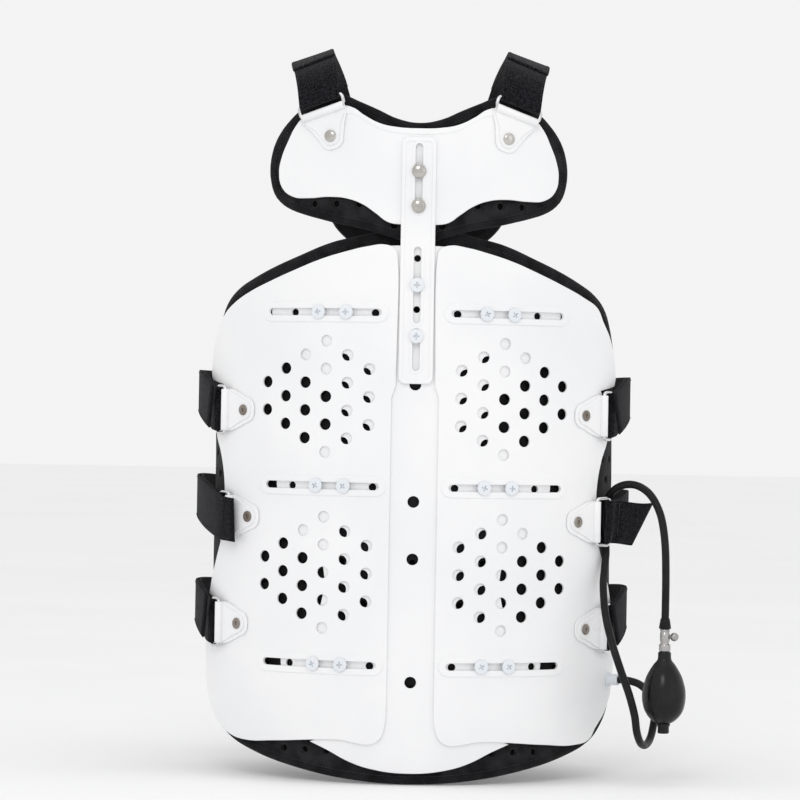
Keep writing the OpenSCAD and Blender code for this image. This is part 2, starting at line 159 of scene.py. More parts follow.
class Paint:
    """A node material under construction, with short calls for the nodes used here."""

    def __init__(self, name, **values):
        self.material = bpy.data.materials.new(name)
        self.material.use_nodes = True
        self.tree = self.material.node_tree
        self.shader = self.tree.nodes["Principled BSDF"]
        for key, value in values.items():
            self.shader.inputs[key.replace("_", " ")].default_value = value

    def node(self, kind, **values):
        made = self.tree.nodes.new(kind)
        for key, value in values.items():
            if key in made.inputs:
                made.inputs[key].default_value = value
            else:
                setattr(made, key, value)
        return made

    def link(self, a, b):
        self.tree.links.new(a, b)

    def math(self, operation, a, b=None):
        made = self.node("ShaderNodeMath", operation=operation)
        for socket, value in zip(made.inputs, (a, b)):
            if value is None:
                continue
            if hasattr(value, "links"):
                self.link(value, socket)
            else:
                socket.default_value = value
        return made.outputs[0]

    def noise(self, scale, detail=3, where=None):
        made = self.node("ShaderNodeTexNoise", Scale=scale, Detail=detail)
        self.link(where or self.node("ShaderNodeTexCoord").outputs["Object"], made.inputs["Vector"])
        return made.outputs["Fac"]

    def ramp(self, value, low, high, a=0.35, b=0.65):
        """Maps a value between a and b to low..high, for numbers or colours."""
        coloured = hasattr(low, "__len__")
        made = self.node("ShaderNodeValToRGB" if coloured else "ShaderNodeMapRange")
        if coloured:
            for element, position, colour in zip(made.color_ramp.elements, (a, b), (low, high)):
                element.position = position
                element.color = (*colour, 1)
        else:
            for socket, number in zip(made.inputs[1:5], (a, b, low, high)):
                socket.default_value = number
        self.link(value, made.inputs[0])
        return made.outputs[0]

    def bump(self, height, strength, depth):
        made = self.node("ShaderNodeBump", Strength=strength, Distance=depth)
        self.link(height, made.inputs["Height"])
        before = self.shader.inputs["Normal"]
        if before.links:
            self.link(before.links[0].from_socket, made.inputs["Normal"])
        self.link(made.outputs[0], before)

    def set(self, name, socket):
        self.link(socket, self.shader.inputs[name])

    def uv(self):
        split = self.node("ShaderNodeSeparateXYZ")
        self.link(self.node("ShaderNodeUVMap").outputs[0], split.inputs[0])
        return split.outputs[0], split.outputs[1]

    def wave(self, value, pitch):
        return self.math("SINE", self.math("MULTIPLY", value, 2 * pi / pitch))


def stage_paint():
    paint = Paint("stage_white", Roughness=0.9)
    paint.set("Base Color", paint.ramp(paint.noise(2), (0.93, 0.93, 0.935), (0.95, 0.95, 0.955)))
    return paint.material


def white_plastic(name, warm=0.0, rough=0.36, tone=1.0):
    """Moulded polyethylene: satin, very slightly uneven, faint scuffs."""
    paint = Paint(name, Roughness=rough, Specular_IOR_Level=0.45)
    broad = paint.noise(9)
    low = [tone * c for c in (0.86 + warm, 0.865, 0.875 - warm)]
    high = [tone * c for c in (0.91 + warm, 0.91, 0.915 - warm)]
    paint.set("Base Color", paint.ramp(broad, low, high))
    paint.set("Roughness", paint.ramp(paint.noise(60, 5), rough - 0.06, rough + 0.1))
    paint.bump(paint.noise(1500, 2), 0.08, 0.0002)
    paint.bump(paint.noise(38, 2), 0.12, 0.0008)
    return paint.material


def fabric(name, low, high, pitch, rough=0.9, sheen=0.1):
    """Knitted or woven cloth, drawn by the flat coordinates of the piece."""
    paint = Paint(name, Roughness=rough, Specular_IOR_Level=0.08, Sheen_Weight=sheen, Sheen_Roughness=0.5)
    u, v = paint.uv()
    weave = paint.math("MULTIPLY", paint.wave(u, pitch), paint.wave(v, pitch))
    fuzz = paint.noise(900, 4)
    height = paint.math("ADD", paint.math("MULTIPLY", weave, 0.5), fuzz)
    paint.bump(height, 0.55, 0.0005)
    tone = paint.math("ADD", paint.math("MULTIPLY", weave, 0.12), paint.noise(70, 3))
    paint.set("Base Color", paint.ramp(tone, low, high))
    return paint.material


def webbing(name, low, high):
    """Loop-faced strap: ribs across it, fuzz, and a tight selvedge along both edges."""
    paint = Paint(name, Roughness=0.95, Specular_IOR_Level=0.06, Sheen_Weight=0.12, Sheen_Roughness=0.4)
    u, v = paint.uv()
    ribs, cords = paint.wave(u, 0.0011), paint.wave(v, 0.0016)
    edge = paint.math("GREATER_THAN", paint.math("ABSOLUTE", v), 0.0165)
    fuzz = paint.noise(1300, 5)
    woven = paint.math("ADD", paint.math("MULTIPLY", ribs, 0.25), paint.math("MULTIPLY", cords, 0.2))
    height = paint.math("ADD", paint.math("ADD", woven, fuzz), paint.math("MULTIPLY", edge, 0.35))
    paint.bump(height, 0.7, 0.0006)
    tone = paint.math("ADD", paint.noise(900, 5), paint.math("MULTIPLY", ribs, 0.04))
    paint.set("Base Color", paint.ramp(tone, low, high, 0.4, 0.62))
    return paint.material


def metal(name, rough=0.16, low=(0.62, 0.62, 0.63), high=(0.76, 0.76, 0.77)):
    paint = Paint(name, Metallic=1.0, Roughness=rough)
    paint.set("Base Color", paint.ramp(paint.noise(40), low, high))
    paint.set("Roughness", paint.ramp(paint.noise(220, 4), rough, rough + 0.14))
    paint.bump(paint.noise(700, 3), 0.06, 0.0002)
    return paint.material


def rubber(name, rough=0.3, gloss=0.28):
    paint = Paint(name, Roughness=rough, Specular_IOR_Level=gloss)
    paint.set("Base Color", paint.ramp(paint.noise(45), (0.003, 0.003, 0.003), (0.009, 0.009, 0.010)))
    paint.set("Roughness", paint.ramp(paint.noise(120, 4), rough - 0.1, rough + 0.12))
    paint.bump(paint.noise(500, 3), 0.15, 0.0003)
    return paint.material


WHITE = white_plastic("white_polyethylene")
WHITE_SCREW = white_plastic("white_nylon", -0.035, 0.3, 0.92)
WHITE_TAB = white_plastic("white_tab_sheet", 0.0, 0.3)
PAD = fabric("black_liner_knit", (0.008, 0.008, 0.009), (0.022, 0.022, 0.024), 0.0012)
# Black knit lining under the liner pads, also painted shade: a dark sheet that closes the perforations so
# they read as dark dots
HOLE_SHADE_LINING = fabric("black_lining_knit_hole_shade", (0.005, 0.005, 0.006), (0.013, 0.013, 0.014), 0.0016, 0.95, 0.06)
BINDING = fabric("black_binding_tape", (0.006, 0.006, 0.007), (0.016, 0.016, 0.018), 0.0009, 0.8, 0.08)
THREAD = fabric("black_thread", (0.02, 0.02, 0.022), (0.045, 0.045, 0.048), 0.0006, 0.7, 0.1)
STRAP = webbing("black_loop_strap", (0.002, 0.002, 0.003), (0.024, 0.024, 0.028))
HOOK = webbing("black_hook_tape", (0.006, 0.006, 0.007), (0.014, 0.014, 0.015))
CHROME = metal("bright_steel")
NICKEL = metal("satin_nickel", 0.24, (0.36, 0.35, 0.34), (0.52, 0.51, 0.50))
POLISHED = metal("polished_nickel", 0.1, (0.46, 0.44, 0.41), (0.66, 0.64, 0.61))
BRONZE = metal("worn_nickel", 0.3, (0.20, 0.17, 0.145), (0.33, 0.30, 0.27))
RUBBER = rubber("black_rubber")
HOSE_RUBBER = rubber("black_hose_rubber", 0.42, 0.22)
BLADDER = rubber("bladder_film", 0.35)


# ---- placing -----------------------------------------------------------------------------------

def oval(u, o):
    """Plan point and outward normal at arc length u from the spine and offset o from the oval."""
    side = -1 if u < 0 else 1
    s = abs(u)
    if s <= BACK_LEN:
        a = s / ARC_R
        centre, normal, r = (0, ARC_Y), (sin(a), -cos(a)), ARC_R
    elif s <= BACK_LEN + SIDE_LEN:
        a = (s - BACK_LEN) / SIDE_R - (pi / 2 - SEAM)
        centre, normal, r = (SIDE_X, 0), (cos(a), sin(a)), SIDE_R
    else:
        a = SEAM - (s - BACK_LEN - SIDE_LEN) / ARC_R
        centre, normal, r = (0, -ARC_Y), (sin(a), cos(a)), ARC_R
    x = centre[0] + (r + o) * normal[0]
    y = centre[1] + (r + o) * normal[1]
    return side * x, y, side * normal[0], normal[1]


FRONT_U = 2 * BACK_LEN + SIDE_LEN


def wrap(o, front=False):
    """A placing function: flat u and v, and height w over the offset o, to a point in metres."""
    def place(u, v, w):
        x, y, _, _ = oval(u, o + w)
        return Vector((x, -y if front else y, v)) * MM
    return place


def back_directions(a):
    """Unit vectors along the back arc and out of it, at an angle in radians from the spine."""
    return Vector((cos(a), sin(a), 0)), Vector((sin(a), -cos(a), 0))


def frame_on_back(angle, z, o, spin=0.0, side=1):
    """Matrix of a flat frame on the back arc: X round the body, Y up, Z outward, turned by spin."""
    a = radians(angle)
    r = ARC_R + o
    tangent, normal = back_directions(a)
    up = Vector((0, 0, 1))
    t = radians(spin)
    x_axis = tangent * cos(t) + up * sin(t)
    y_axis = up * cos(t) - tangent * sin(t)
    m = Matrix((x_axis, y_axis, normal)).transposed().to_4x4()
    m.translation = (r * sin(a), ARC_Y - r * cos(a), z)
    return MIRROR @ m if side < 0 else m


def flat(matrix):
    """A placing function for pieces that stay flat."""
    def place(u, v, w):
        return (matrix @ Vector((u, v, w))) * MM
    return place


# ---- mesh tools --------------------------------------------------------------------------------

def mesh_object(name, bm):
    mesh = bpy.data.meshes.new(name)
    bmesh.ops.recalc_face_normals(bm, faces=bm.faces)
    bm.to_mesh(mesh)
    bm.free()
    return new_object(name, mesh)


def finish_piece(obj, paint, body, slot, replaces=(), weighted=False):
    """Paint, smooth shading, the body it rides on and the CAD nodes it stands for.

    A body given as (body, body, start, end) leaves the piece unattached, with its transform baked into the
    mesh.
    """
    obj.data.materials.clear()
    obj.data.materials.append(paint)
    if obj.type == "MESH":
        for polygon in obj.data.polygons:
            polygon.use_smooth = True
        if weighted:
            modifier = obj.modifiers.new("normals", "WEIGHTED_NORMAL")
            modifier.weight = 100
    if isinstance(body, tuple):
        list(body)
        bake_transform(obj)
    else:
        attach(obj, body)
    if replaces:
        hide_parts(*replaces)
    return obj


def add_spline(curve, points):
    """Closed outline. A point is (u, v) on a smooth stretch or (u, v, 1) at a corner."""
    spline = curve.splines.new("BEZIER")
    spline.bezier_points.add(len(points) - 1)
    spline.use_cyclic_u = True
    for knot, point in zip(spline.bezier_points, points):
        knot.co = (point[0], point[1], 0)
        kind = "VECTOR" if len(point) > 2 else "AUTO"
        knot.handle_left_type = kind
        knot.handle_right_type = kind


def ring_points(u, v, r):
    return [(u + r, v), (u, v + r), (u - r, v), (u, v - r)]


def stadium(u0, u1, v0, v1, r, steps=5):
    """Slot from (u0, v0) to (u1, v1) with round ends of radius r."""
    heading = atan2(v1 - v0, u1 - u0)
    ends = ((u1, v1, heading - pi / 2), (u0, v0, heading + pi / 2))
    return [
        (u + r * cos(start + pi * k / steps), v + r * sin(start + pi * k / steps), 1)
        for u, v, start in ends for k in range(steps + 1)
    ]


def mesh_of(holder):
    """Mesh that a curve gives; the curve goes."""
    bpy.context.view_layer.update()
    mesh = bpy.data.meshes.new_from_object(holder.evaluated_get(bpy.context.evaluated_depsgraph_get()))
    bpy.data.curves.remove(holder.data)
    return mesh


def flat_sheet(name, outlines, thickness, edge, strip, tall):
    """bmesh of a flat plate from z=0 to thickness, with rounded edges, cut in strips for bending."""
    curve = bpy.data.curves.new(name, "CURVE")
    curve.dimensions = "2D"
    curve.fill_mode = "BOTH"
    curve.extrude = thickness / 2 - edge
    curve.bevel_depth = edge
    curve.bevel_resolution = 2
    curve.offset = -edge
    curve.resolution_u = 6
    for outline in outlines:
        add_spline(curve, outline)
    mesh = mesh_of(new_object(name, curve))
    bm = bmesh.new()
    bm.from_mesh(mesh)
    bpy.data.meshes.remove(mesh)
    bmesh.ops.remove_doubles(bm, verts=bm.verts, dist=0.005)
    bmesh.ops.translate(bm, verts=bm.verts, vec=(0, 0, thickness / 2))
    for axis, pitch in ((0, strip), (1, tall)):
        if not pitch:
            continue
        low = min(v.co[axis] for v in bm.verts)
        high = max(v.co[axis] for v in bm.verts)
        normal = Vector((axis == 0, axis == 1, 0))
        for k in range(floor(low / pitch) + 1, ceil(high / pitch)):
            geometry = bm.verts[:] + bm.edges[:] + bm.faces[:]
            bmesh.ops.bisect_plane(bm, geom=geometry, plane_co=normal * k * pitch, plane_no=normal,
                                   dist=0.001)
    return bm


def plate(name, outlines, thickness, edge, place, strip=6, tall=None, shape=None):
    """Flat sheet put in place, with its flat coordinates kept as UVs in metres."""
    bm = flat_sheet(name, outlines, thickness, edge, strip, tall)
    layer = bm.loops.layers.uv.new("UVMap")
    for face in bm.faces:
        for loop in face.loops:
            loop[layer].uv = (loop.vert.co.x * MM, loop.vert.co.y * MM)
    for v in bm.verts:
        w = v.co.z + (shape(v.co.x, v.co.y, v.co.z) if shape else 0)
        v.co = place(v.co.x, v.co.y, w)
    return mesh_object(name, bm)


def white_plate(name, outlines, thickness, edge, place, body, replaces=(), strip=6, tall=None, paint=None):
    """Moulded plate with its paint, body and CAD nodes."""
    made = plate(name, outlines, thickness, edge, place, strip, tall)
    return finish_piece(made, paint or WHITE, body, "white_plastic", replaces, weighted=True)


def skin(name, rings, marks=(), across=(), closed=False, caps=True):
    """Mesh through rings of points in metres.

    Lengths along it (marks) and places across it, in millimetres, become UVs in metres.
    """
    bm = bmesh.new()
    layer = bm.loops.layers.uv.new("UVMap") if marks else None
    rows = [[bm.verts.new(point) for point in ring] for ring in rings]
    following = rows[1:] + rows[:1] if closed else rows[1:]
    for i, (a, b) in enumerate(zip(rows, following)):
        for k in range(len(a)):
            m = (k + 1) % len(a)
            face = bm.faces.new((a[k], a[m], b[m], b[k]))
            if marks:
                for loop, mark, column in zip(face.loops, (i, i, i + 1, i + 1), (k, m, m, k)):
                    loop[layer].uv = (marks[mark] * MM, across[column] * MM)
    if caps:
        bm.faces.new(rows[0])
        bm.faces.new(rows[-1])
    return mesh_object(name, bm)


def lathe(name, profile, matrix, segments=48, caps=True):
    """Turned piece: profile of (radius, height) round the local Z axis, in millimetres."""
    turns = [2 * pi * k / segments for k in range(segments)]
    rings = [[matrix @ Vector((r * cos(a), r * sin(a), h)) * MM for a in turns] for r, h in profile]
    return skin(name, rings, caps=caps)


def catmull(points, steps):
    """Smooth path through points."""
    n = len(points) - 1
    path = []
    for i in range(n):
        a, b, c, d = (Vector(points[k]) for k in (max(i - 1, 0), i, i + 1, min(i + 2, n)))
        for k in range(steps):
            t = k / steps
            path.append((b * 2 + (c - a) * t + (a * 2 - b * 5 + c * 4 - d) * t ** 2
                         + (b * 3 - a - c * 3 + d) * t ** 3) / 2)
    return path + [Vector(points[n])]


def strap_section(width, thickness):
    """Section of a strap: flat, with rounded edges. Points are (across, out)."""
    r = thickness / 2
    half = width / 2 - r
    turn = [radians(a) for a in (-90, -54, -18, 18, 54, 90)]
    right = [(half + r * cos(a), r * sin(a)) for a in turn]
    middle = [(half * k / 4, r) for k in (2, 0, -2)]
    left = [(-x, -y) for x, y in right]
    under = [(half * k / 4, -r) for k in (-2, 0, 2)]
    return right + middle + left + under


SLANT_FADE = 45


def strap_mesh(name, stations, width, thickness, slants=(0, 0)):
    """Strap along stations of (centre, across, out), in millimetres. slants skew the two cut ends."""
    section = strap_section(width, thickness)
    lengths = [0.0]
    for a, b in zip(stations, stations[1:]):
        lengths.append(lengths[-1] + (b[0] - a[0]).length)
    total = lengths[-1]
    rings = []
    for i, (centre, across, out) in enumerate(stations):
        along = (stations[min(i + 1, len(stations) - 1)][0] - stations[max(i - 1, 0)][0]).normalized()
        skew = (slants[0] * max(0, 1 - lengths[i] / SLANT_FADE)
                + slants[1] * max(0, 1 - (total - lengths[i]) / SLANT_FADE))
        rings.append([
            (centre + across * p + out * q + along * skew * p / (width / 2)) * MM for p, q in section
        ])
    return skin(name, rings, lengths, [p for p, q in section])


def edge_stitches(name, stations, width, thickness, body, inset=2.3):
    """Two rows of thread on the outer face of a strap, near its edges."""
    for mark, sign in (("upper", 1), ("lower", -1)):
        reach = sign * (width / 2 - inset)
        spots = [centre + across * reach + out * (thickness / 2 - 0.1) for centre, across, out in stations]
        row = stitches(f"{name}_{mark}_stitches", spots, [out for _, _, out in stations])
        finish_piece(row, THREAD, body, "webbing")


BAR_FACES = ((4, 5, 7, 6), (0, 1, 5, 4), (1, 3, 7, 5), (3, 2, 6, 7), (2, 0, 4, 6), (0, 2, 3, 1))


def stitches(name, points, normals, pitch=3.2, size=(2.1, 0.55, 0.5)):
    """Row of small thread bars along a line of points, lying on a surface with those normals."""
    bm = bmesh.new()
    wait = 0.0
    for (a, na), (b, _) in zip(zip(points, normals), list(zip(points, normals))[1:]):
        span = (b - a).length
        if span < 1e-6:
            continue
        along = (b - a) / span
        across = na.cross(along).normalized()
        while wait < span:
            centre = a + along * wait
            corners = [
                (centre + along * p * size[0] / 2 * shrink + across * q * size[1] / 2 * shrink
                 + na * lift * size[2]) * MM
                for lift, shrink in ((0, 1), (1, 0.75)) for q in (-1, 1) for p in (-1, 1)
            ]
            verts = [bm.verts.new(corner) for corner in corners]
            for quad in BAR_FACES:
                bm.faces.new([verts[k] for k in quad])
            wait += pitch
        wait -= span
    return mesh_object(name, bm)


# ---- hose --------------------------------------------------------------------------------------

HOSE_D = 6.8
HOSE_ROUTE = [
    (184.5, -47, -140), (191, -50, -140), (203, -55, -143.4), (212.3, -59, -153), (216, -61, -166),
    (214.5, -65, -180), (211, -74.5, -190), (206, -87.2, -193.8), (201, -100, -190),
    (197.3, -109.5, -180), (195, -113, -166), (190, -113, -148), (182.5, -108.5, -127),
    (175, -101.5, -104), (169.5, -91, -80), (168, -76, -56), (169.6, -65, -40), (170.8, -58.4, -26),
    (170, -54, -13), (168.8, -51.2, -3), (168.6, -50.4, 6.5), (171, -52.4, 18.4), (176.7, -57.5, 27.4),
    (183.3, -63.7, 32), (191, -71, 33.4), (198.6, -78.4, 31.6), (206.2, -85.6, 26), (212.4, -91.5, 16.4),
    (217.1, -96.2, 2.6), (220, -99.2, -19), (221, -100, -48), (221, -100, -82),
]
PUMP = Vector((221, -100, -82))


def round_bar(name, path, radius, roundness):
    """Curve object: round bar along a path in millimetres."""
    curve = bpy.data.curves.new(name, "CURVE")
    curve.dimensions = "3D"
    curve.bevel_depth = radius * MM
    curve.bevel_resolution = roundness
    spline = curve.splines.new("POLY")
    spline.points.add(len(path) - 1)
    for knot, point in zip(spline.points, path):
        knot.co = (*(point * MM), 1)
    return new_object(name, curve)


def make_hose():
    path = catmull(HOSE_ROUTE, 6)
    hose = round_bar("air_hose", path, HOSE_D / 2, 5)
    hose.data.use_fill_caps = True
    finish_piece(hose, HOSE_RUBBER, "right_wing", "rubber", ["hose"])
    length = sum((b - a).length for a, b in zip(path, path[1:])) * MM
    return hose, path[0] * MM, length


make_camera()
air_hose, hose_exit, hose_length = make_hose()


# ---- wings -------------------------------------------------------------------------------------

VENT_ROWS = (3, 4, 5, 4, 3, 2)
VENT_PITCH = 24
VENT_D = 10
SLOT_R = 3.1


def degrees_u(angle):
    return ARC_R * radians(angle)


def vent_places():
    """Centres of the holes in the two perforated fields of a wing."""
    return [
        (degrees_u(10.7 + 5.2 * column), z + (row - (count - 1) / 2) * VENT_PITCH)
        for z in FIELD_Z for column, count in enumerate(VENT_ROWS) for row in range(count)
    ]


def wing_outline(cut):
    """Outline of a wing, from the top inner corner round the flank. cut trims the flank."""
    flank = [
        (176, 187), (192, 176), (205, 161), (215, 143), (219.5, 126, 1), (216, 119, 1), (190, 115, 1),
        (201, 92), (203, 74), (193, 54), (187, 33), (186, 12), (187, -10), (198, -37), (209, -58),
        (221, -88), (226, -115), (223, -143), (208, -166), (190, -182), (174, -191),
    ]
    trimmed = [(u - cut, v, *rest) if u > 180 else (u, v, *rest) for u, v, *rest in flank]
    top = [
        (16.5, 226), (19, 234), (27, 237.5), (42, 236), (59, 232), (83, 225), (107, 216), (133, 206),
        (158, 196),
    ]
    bottom = [
        (156, -195), (120, -193.5), (80, -190.5), (59, -190), (44, -192.5), (33, -193), (25, -188),
        (21, -176), (20, -160, 1), (20, 106, 1), (16.5, 116, 1),
    ]
    return top + trimmed + bottom


def on_side(outlines, sign):
    """The outlines on the right or, with sign -1, on the left."""
    return [[(sign * point[0], *point[1:]) for point in outline] for outline in outlines]


def make_wing(side, sign):
    cut = 8 if sign > 0 else 0
    u0, u1 = degrees_u(8), degrees_u(36.5)
    slots = [stadium(u0 + SLOT_R, u1 - SLOT_R, z, z, SLOT_R) for z in SLOT_Z]
    vents = [ring_points(u, v, VENT_D / 2) for u, v in vent_places()]
    white_plate(f"{side}_wing_shell", on_side([wing_outline(cut)] + vents + slots, sign), PLATE_T, 0.7,
                wrap(WING_IN), f"{side}_wing", [f"wing_{side}"], tall=24)
    for row, z, slot in zip(ROWS, SLOT_Z, slots):
        rim = stadium(u0 + 2.2, u1 - 2.2, z, z, 8.6)
        white_plate(f"{side}_{row}_slot_rim", on_side([rim, slot], sign), 1.5, 0.6, wrap(WING_OUT - 0.5),
                    f"{side}_wing")


def rivet_head(name, matrix, radius, dome, paint, body, eye):
    """Tubular rivet: a low rolled head with a sunk eye, or a closed dome."""
    if eye:
        profile = [(radius - 0.3, 0), (radius, 0.3), (radius, 0.6), (radius - 0.6, dome * 0.85),
                   (radius - 1.8, dome), (eye + 0.6, dome * 0.95), (eye, dome * 0.6), (eye * 0.9, 0.1),
                   (0.02, 0.05)]
    else:
        turns = [radians(a) for a in range(8, 89, 8)]
        profile = [(radius - 0.2, 0), (radius, 0.4)]
        profile += [(radius * cos(a), 0.5 + dome * sin(a)) for a in turns]
    head = lathe(name, profile, matrix, 40)
    finish_piece(head, paint, body, "steel")
    head.data.set_sharp_from_angle(angle=radians(55))
    return head


def make_rivets():
    leaf_top = 2.45
    for side, sign in SIDES:
        for row, angle, z in zip(ROWS, TAB_A, STRAP_Z):
            matrix = frame_on_back(angle, z, WING_OUT + GAP + leaf_top, 0, sign)
            head = rivet_head(f"{side}_{row}_rivet", matrix, radius=4.8, dome=1.3, paint=BRONZE,
                              body=f"{side}_wing", eye=1.5)
            if row == ROWS[0]:
                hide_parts(f"wing_rivets_{side}")
        matrix = frame_on_back(*SHOULDER_TAB, PLATE_T + GAP + leaf_top, 0, sign)
        head = rivet_head(f"{side}_shoulder_rivet", matrix, radius=5.2, dome=2.2, paint=POLISHED,
                          body="upper_back", eye=0)
        if sign > 0:
            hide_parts("shoulder_rivets")


def paint_node(node, paint, bevel=0.25):
    """Keeps a CAD node's shape and gives it a material and softened edges."""
    node.data.materials.clear()
    node.data.materials.append(paint)
    weld = node.modifiers.new("weld", "WELD")
    weld.merge_threshold = 0.00001
    soft = node.modifiers.new("soft_edges", "BEVEL")
    soft.width = bevel * MM
    soft.segments = 2
    soft.limit_method = "ANGLE"
    soft.angle_limit = radians(40)


# ---- centre plate and liner --------------------------------------------------------------------

# Right half of the centre plate: three arms joined by scalloped sides, and the tongue
CENTER_HALF = [
    (0, 237), (30, 236), (56, 231), (72, 222), (78, 208), (86, 198), (122, 196.5), (129, 193),
    (132, 188), (132, 170), (128, 164), (116, 150), (104, 136), (90, 126.5), (78, 118), (73.3, 108),
    (72.8, 92), (74, 76), (82, 65), (100, 54), (116, 46), (123, 40), (124, 22), (117, 6), (104, -13),
    (90, -25), (81, -35), (77.3, -46), (78.5, -68), (84, -83), (96, -96), (110, -106), (116, -114),
    (117, -130), (111, -140), (92, -146), (80, -158), (76, -176), (80, -189.5, 1), (88, -192.5, 1),
    (72, -199), (52, -208.5), (34, -214), (0, -217.5),
]
# Height and radius of the holes down the spine
SPINE_HOLES = ((226, 2.9), (182, 2.9), (117.5, 5), (16.5, 5), (-33, 5), (-139, 5))


def make_center_plate():
    """Its perforations lie a little out and down from those of the wings, as in the photo."""
    arm_end = 70
    holes = [ring_points(0, z, r) for z, r in SPINE_HOLES]
    for sign in (-1, 1):
        for z in SLOT_Z:
            holes += [ring_points(sign * degrees_u(a), z - 0.5, 3.3) for a in (9.6, 29.7)]
        for u, v in vent_places():
            if u < arm_end:
                out, down = (4.1, 3.9) if v > 30 else (3.6, 2.0)
                holes.append(ring_points(sign * (u + out), v - down, VENT_D / 2))
    white_plate("center_plate_shell", [mirrored(CENTER_HALF)] + holes, PLATE_T, 0.7, wrap(0), "back_panel",
                ["center_plate"], tall=24)


def hex_holes(path, pitch, margin):
    """Centres of a staggered grid of perforations, further than the margin inside a closed path."""
    inside, away = contains(path), distance_to(path)
    row_h = pitch * sqrt(3) / 2
    reach = max(abs(p.x) for p in path)
    columns = range(-ceil(reach / pitch), ceil(reach / pitch) + 1)
    rows = range(floor(min(p.y for p in path) / row_h), ceil(max(p.y for p in path) / row_h) + 1)
    grid = [((i + (j % 2) / 2) * pitch, j * row_h) for j in rows for i in columns]
    return [(u, v) for u, v in grid if inside(u, v) and away(u, v) > margin]


def bezier_path(outline, steps=6):
    """Points along a closed outline, smooth or cornered as the outline says."""
    curve = bpy.data.curves.new("path", "CURVE")
    curve.dimensions = "2D"
    curve.fill_mode = "NONE"
    curve.resolution_u = steps
    add_spline(curve, outline)
    mesh = mesh_of(new_object("path", curve))
    points = [v.co.copy() for v in mesh.vertices]
    bpy.data.meshes.remove(mesh)
    return points


def even_path(points, pitch):
    """The closed path again, with points a pitch apart."""
    closed = points + points[:1]
    total = [0.0]
    for a, b in zip(closed, closed[1:]):
        total.append(total[-1] + (b - a).length)
    count = max(8, round(total[-1] / pitch))
    wanted = np.linspace(0, total[-1], count, endpoint=False)
    xs = np.interp(wanted, total, [p.x for p in closed])
    ys = np.interp(wanted, total, [p.y for p in closed])
    return [Vector((x, y, 0)) for x, y in zip(xs, ys)]


def distance_to(points):
    array = np.array([(p.x, p.y) for p in points])

    def measure(u, v):
        return float(np.min(np.hypot(array[:, 0] - u, array[:, 1] - v)))
    return measure


def contains(points):
    """Even-odd test against a closed path."""
    def inside(u, v):
        hit = False
        for a, b in zip(points, points[1:] + points[:1]):
            if (a.y > v) != (b.y > v) and u < (b.x - a.x) * (v - a.y) / (b.y - a.y) + a.x:
                hit = not hit
        return hit
    return inside


def edge_normals(path):
    """Unit vectors in the flat, square to the path and pointing inward."""
    following = path[1:] + path[:1]
    area = sum(a.x * b.y - b.x * a.y for a, b in zip(path, following))
    turn = 1 if area > 0 else -1
    headings = [(b - a).normalized() for a, b in zip(path[-1:] + path[:-1], following)]
    return [Vector((-along.y, along.x, 0)) * turn for along in headings]


def make_binding(name, path, inward, width, thickness, lift, place):
    """Tape folded over the edge of a liner: a rounded loop in section, swept round the outline."""
    steps = 14
    section = []
    for k in range(steps):
        a = 2 * pi * k / steps
        x, y = cos(a), sin(a)
        section.append((width / 2 * copysign(abs(x) ** 0.55, x),
                        thickness / 2 * copysign(abs(y) ** 0.7, y)))
    across = [2 * width * k / steps for k in range(steps)]
    rings = []
    marks = [0]
    for point, following, n in zip(path, path[1:] + path[:1], inward):
        centre = point + n * (width / 2 - TAPE_PAST_EDGE)
        rings.append([place(centre.x + n.x * p, centre.y + n.y * p, lift + q) for p, q in section])
        marks.append(marks[-1] + (following - point).length)
    return skin(name, rings, marks, across, closed=True, caps=False)


PATH_PITCH = 5
HOLE_R = 2.9
HOLE_PITCH = 21
TAPE_W = 7.5
TAPE_PAST_EDGE = 1.2
STITCH_INSET = 5.6
GROOVE_INSET = 8.2


def make_liner(name, outline, body, node, margin=12, front=False, tuck=None):
    """Foam liner: perforated pad, a black lining under it that shuts the holes as painted shade, folded
    binding tape and a stitch line, all wrapped on the body.
    """
    path = even_path(bezier_path(outline), PATH_PITCH)
    inward = edge_normals(path)
    away = distance_to(path)
    holes = [ring_points(u, v, HOLE_R) for u, v in hex_holes(path, HOLE_PITCH, margin)]
    on_body = wrap(LINER_OUT - LINER_T, front)

    def place(u, v, w):
        return on_body(u, v, w - (tuck(u, v) if tuck else 0))

    def under(u, v, w):
        return place(u, v, w - 0.35)

    def puff(u, v, w):
        """Foam stands proud in the field and is drawn down along the inner edge of the binding."""
        drawn = exp(-((away(u, v) - GROOVE_INSET) / 2.2) ** 2) * 0.7
        swell = 0.35 * sin(u / 17) * sin(v / 21)
        return (1 if w > LINER_T / 2 else -1) * (swell - drawn)
    pad = plate(f"{name}_pad", [outline] + holes, LINER_T, 1.6, place, strip=7, tall=9, shape=puff)
    finish_piece(pad, PAD, body, "liner_fabric", [node])
    # The black lining under the pad shuts the perforations: painted shade, a dark sheet that makes the
    # holes read as dark dots
    shrunk = [(p.x + n.x * 2.2, p.y + n.y * 2.2, 1) for p, n in zip(path[::2], inward[::2])]
    hole_shade_lining = plate(f"{name}_lining", [shrunk], 0.6, 0.2, under, strip=7, tall=9)
    finish_piece(hole_shade_lining, HOLE_SHADE_LINING, body, "liner_fabric")
    tape = make_binding(f"{name}_binding", path, inward, TAPE_W, LINER_T + 1.1, LINER_T / 2, place)
    finish_piece(tape, BINDING, body, "liner_fabric")
    line = [p + n * STITCH_INSET for p, n in zip(path, inward)]
    for sign, face in ((1, "outer"), (-1, "inner")):
        w = LINER_T / 2 + sign * (LINER_T / 2 + 0.15)
        spots = [place(p.x, p.y, w) / MM for p in line]
        outs = [((place(p.x, p.y, w + 1) - place(p.x, p.y, w)) / MM).normalized() * sign for p in line]
        row = stitches(f"{name}_{face}_stitches", spots, outs)
        finish_piece(row, THREAD, body, "liner_fabric")


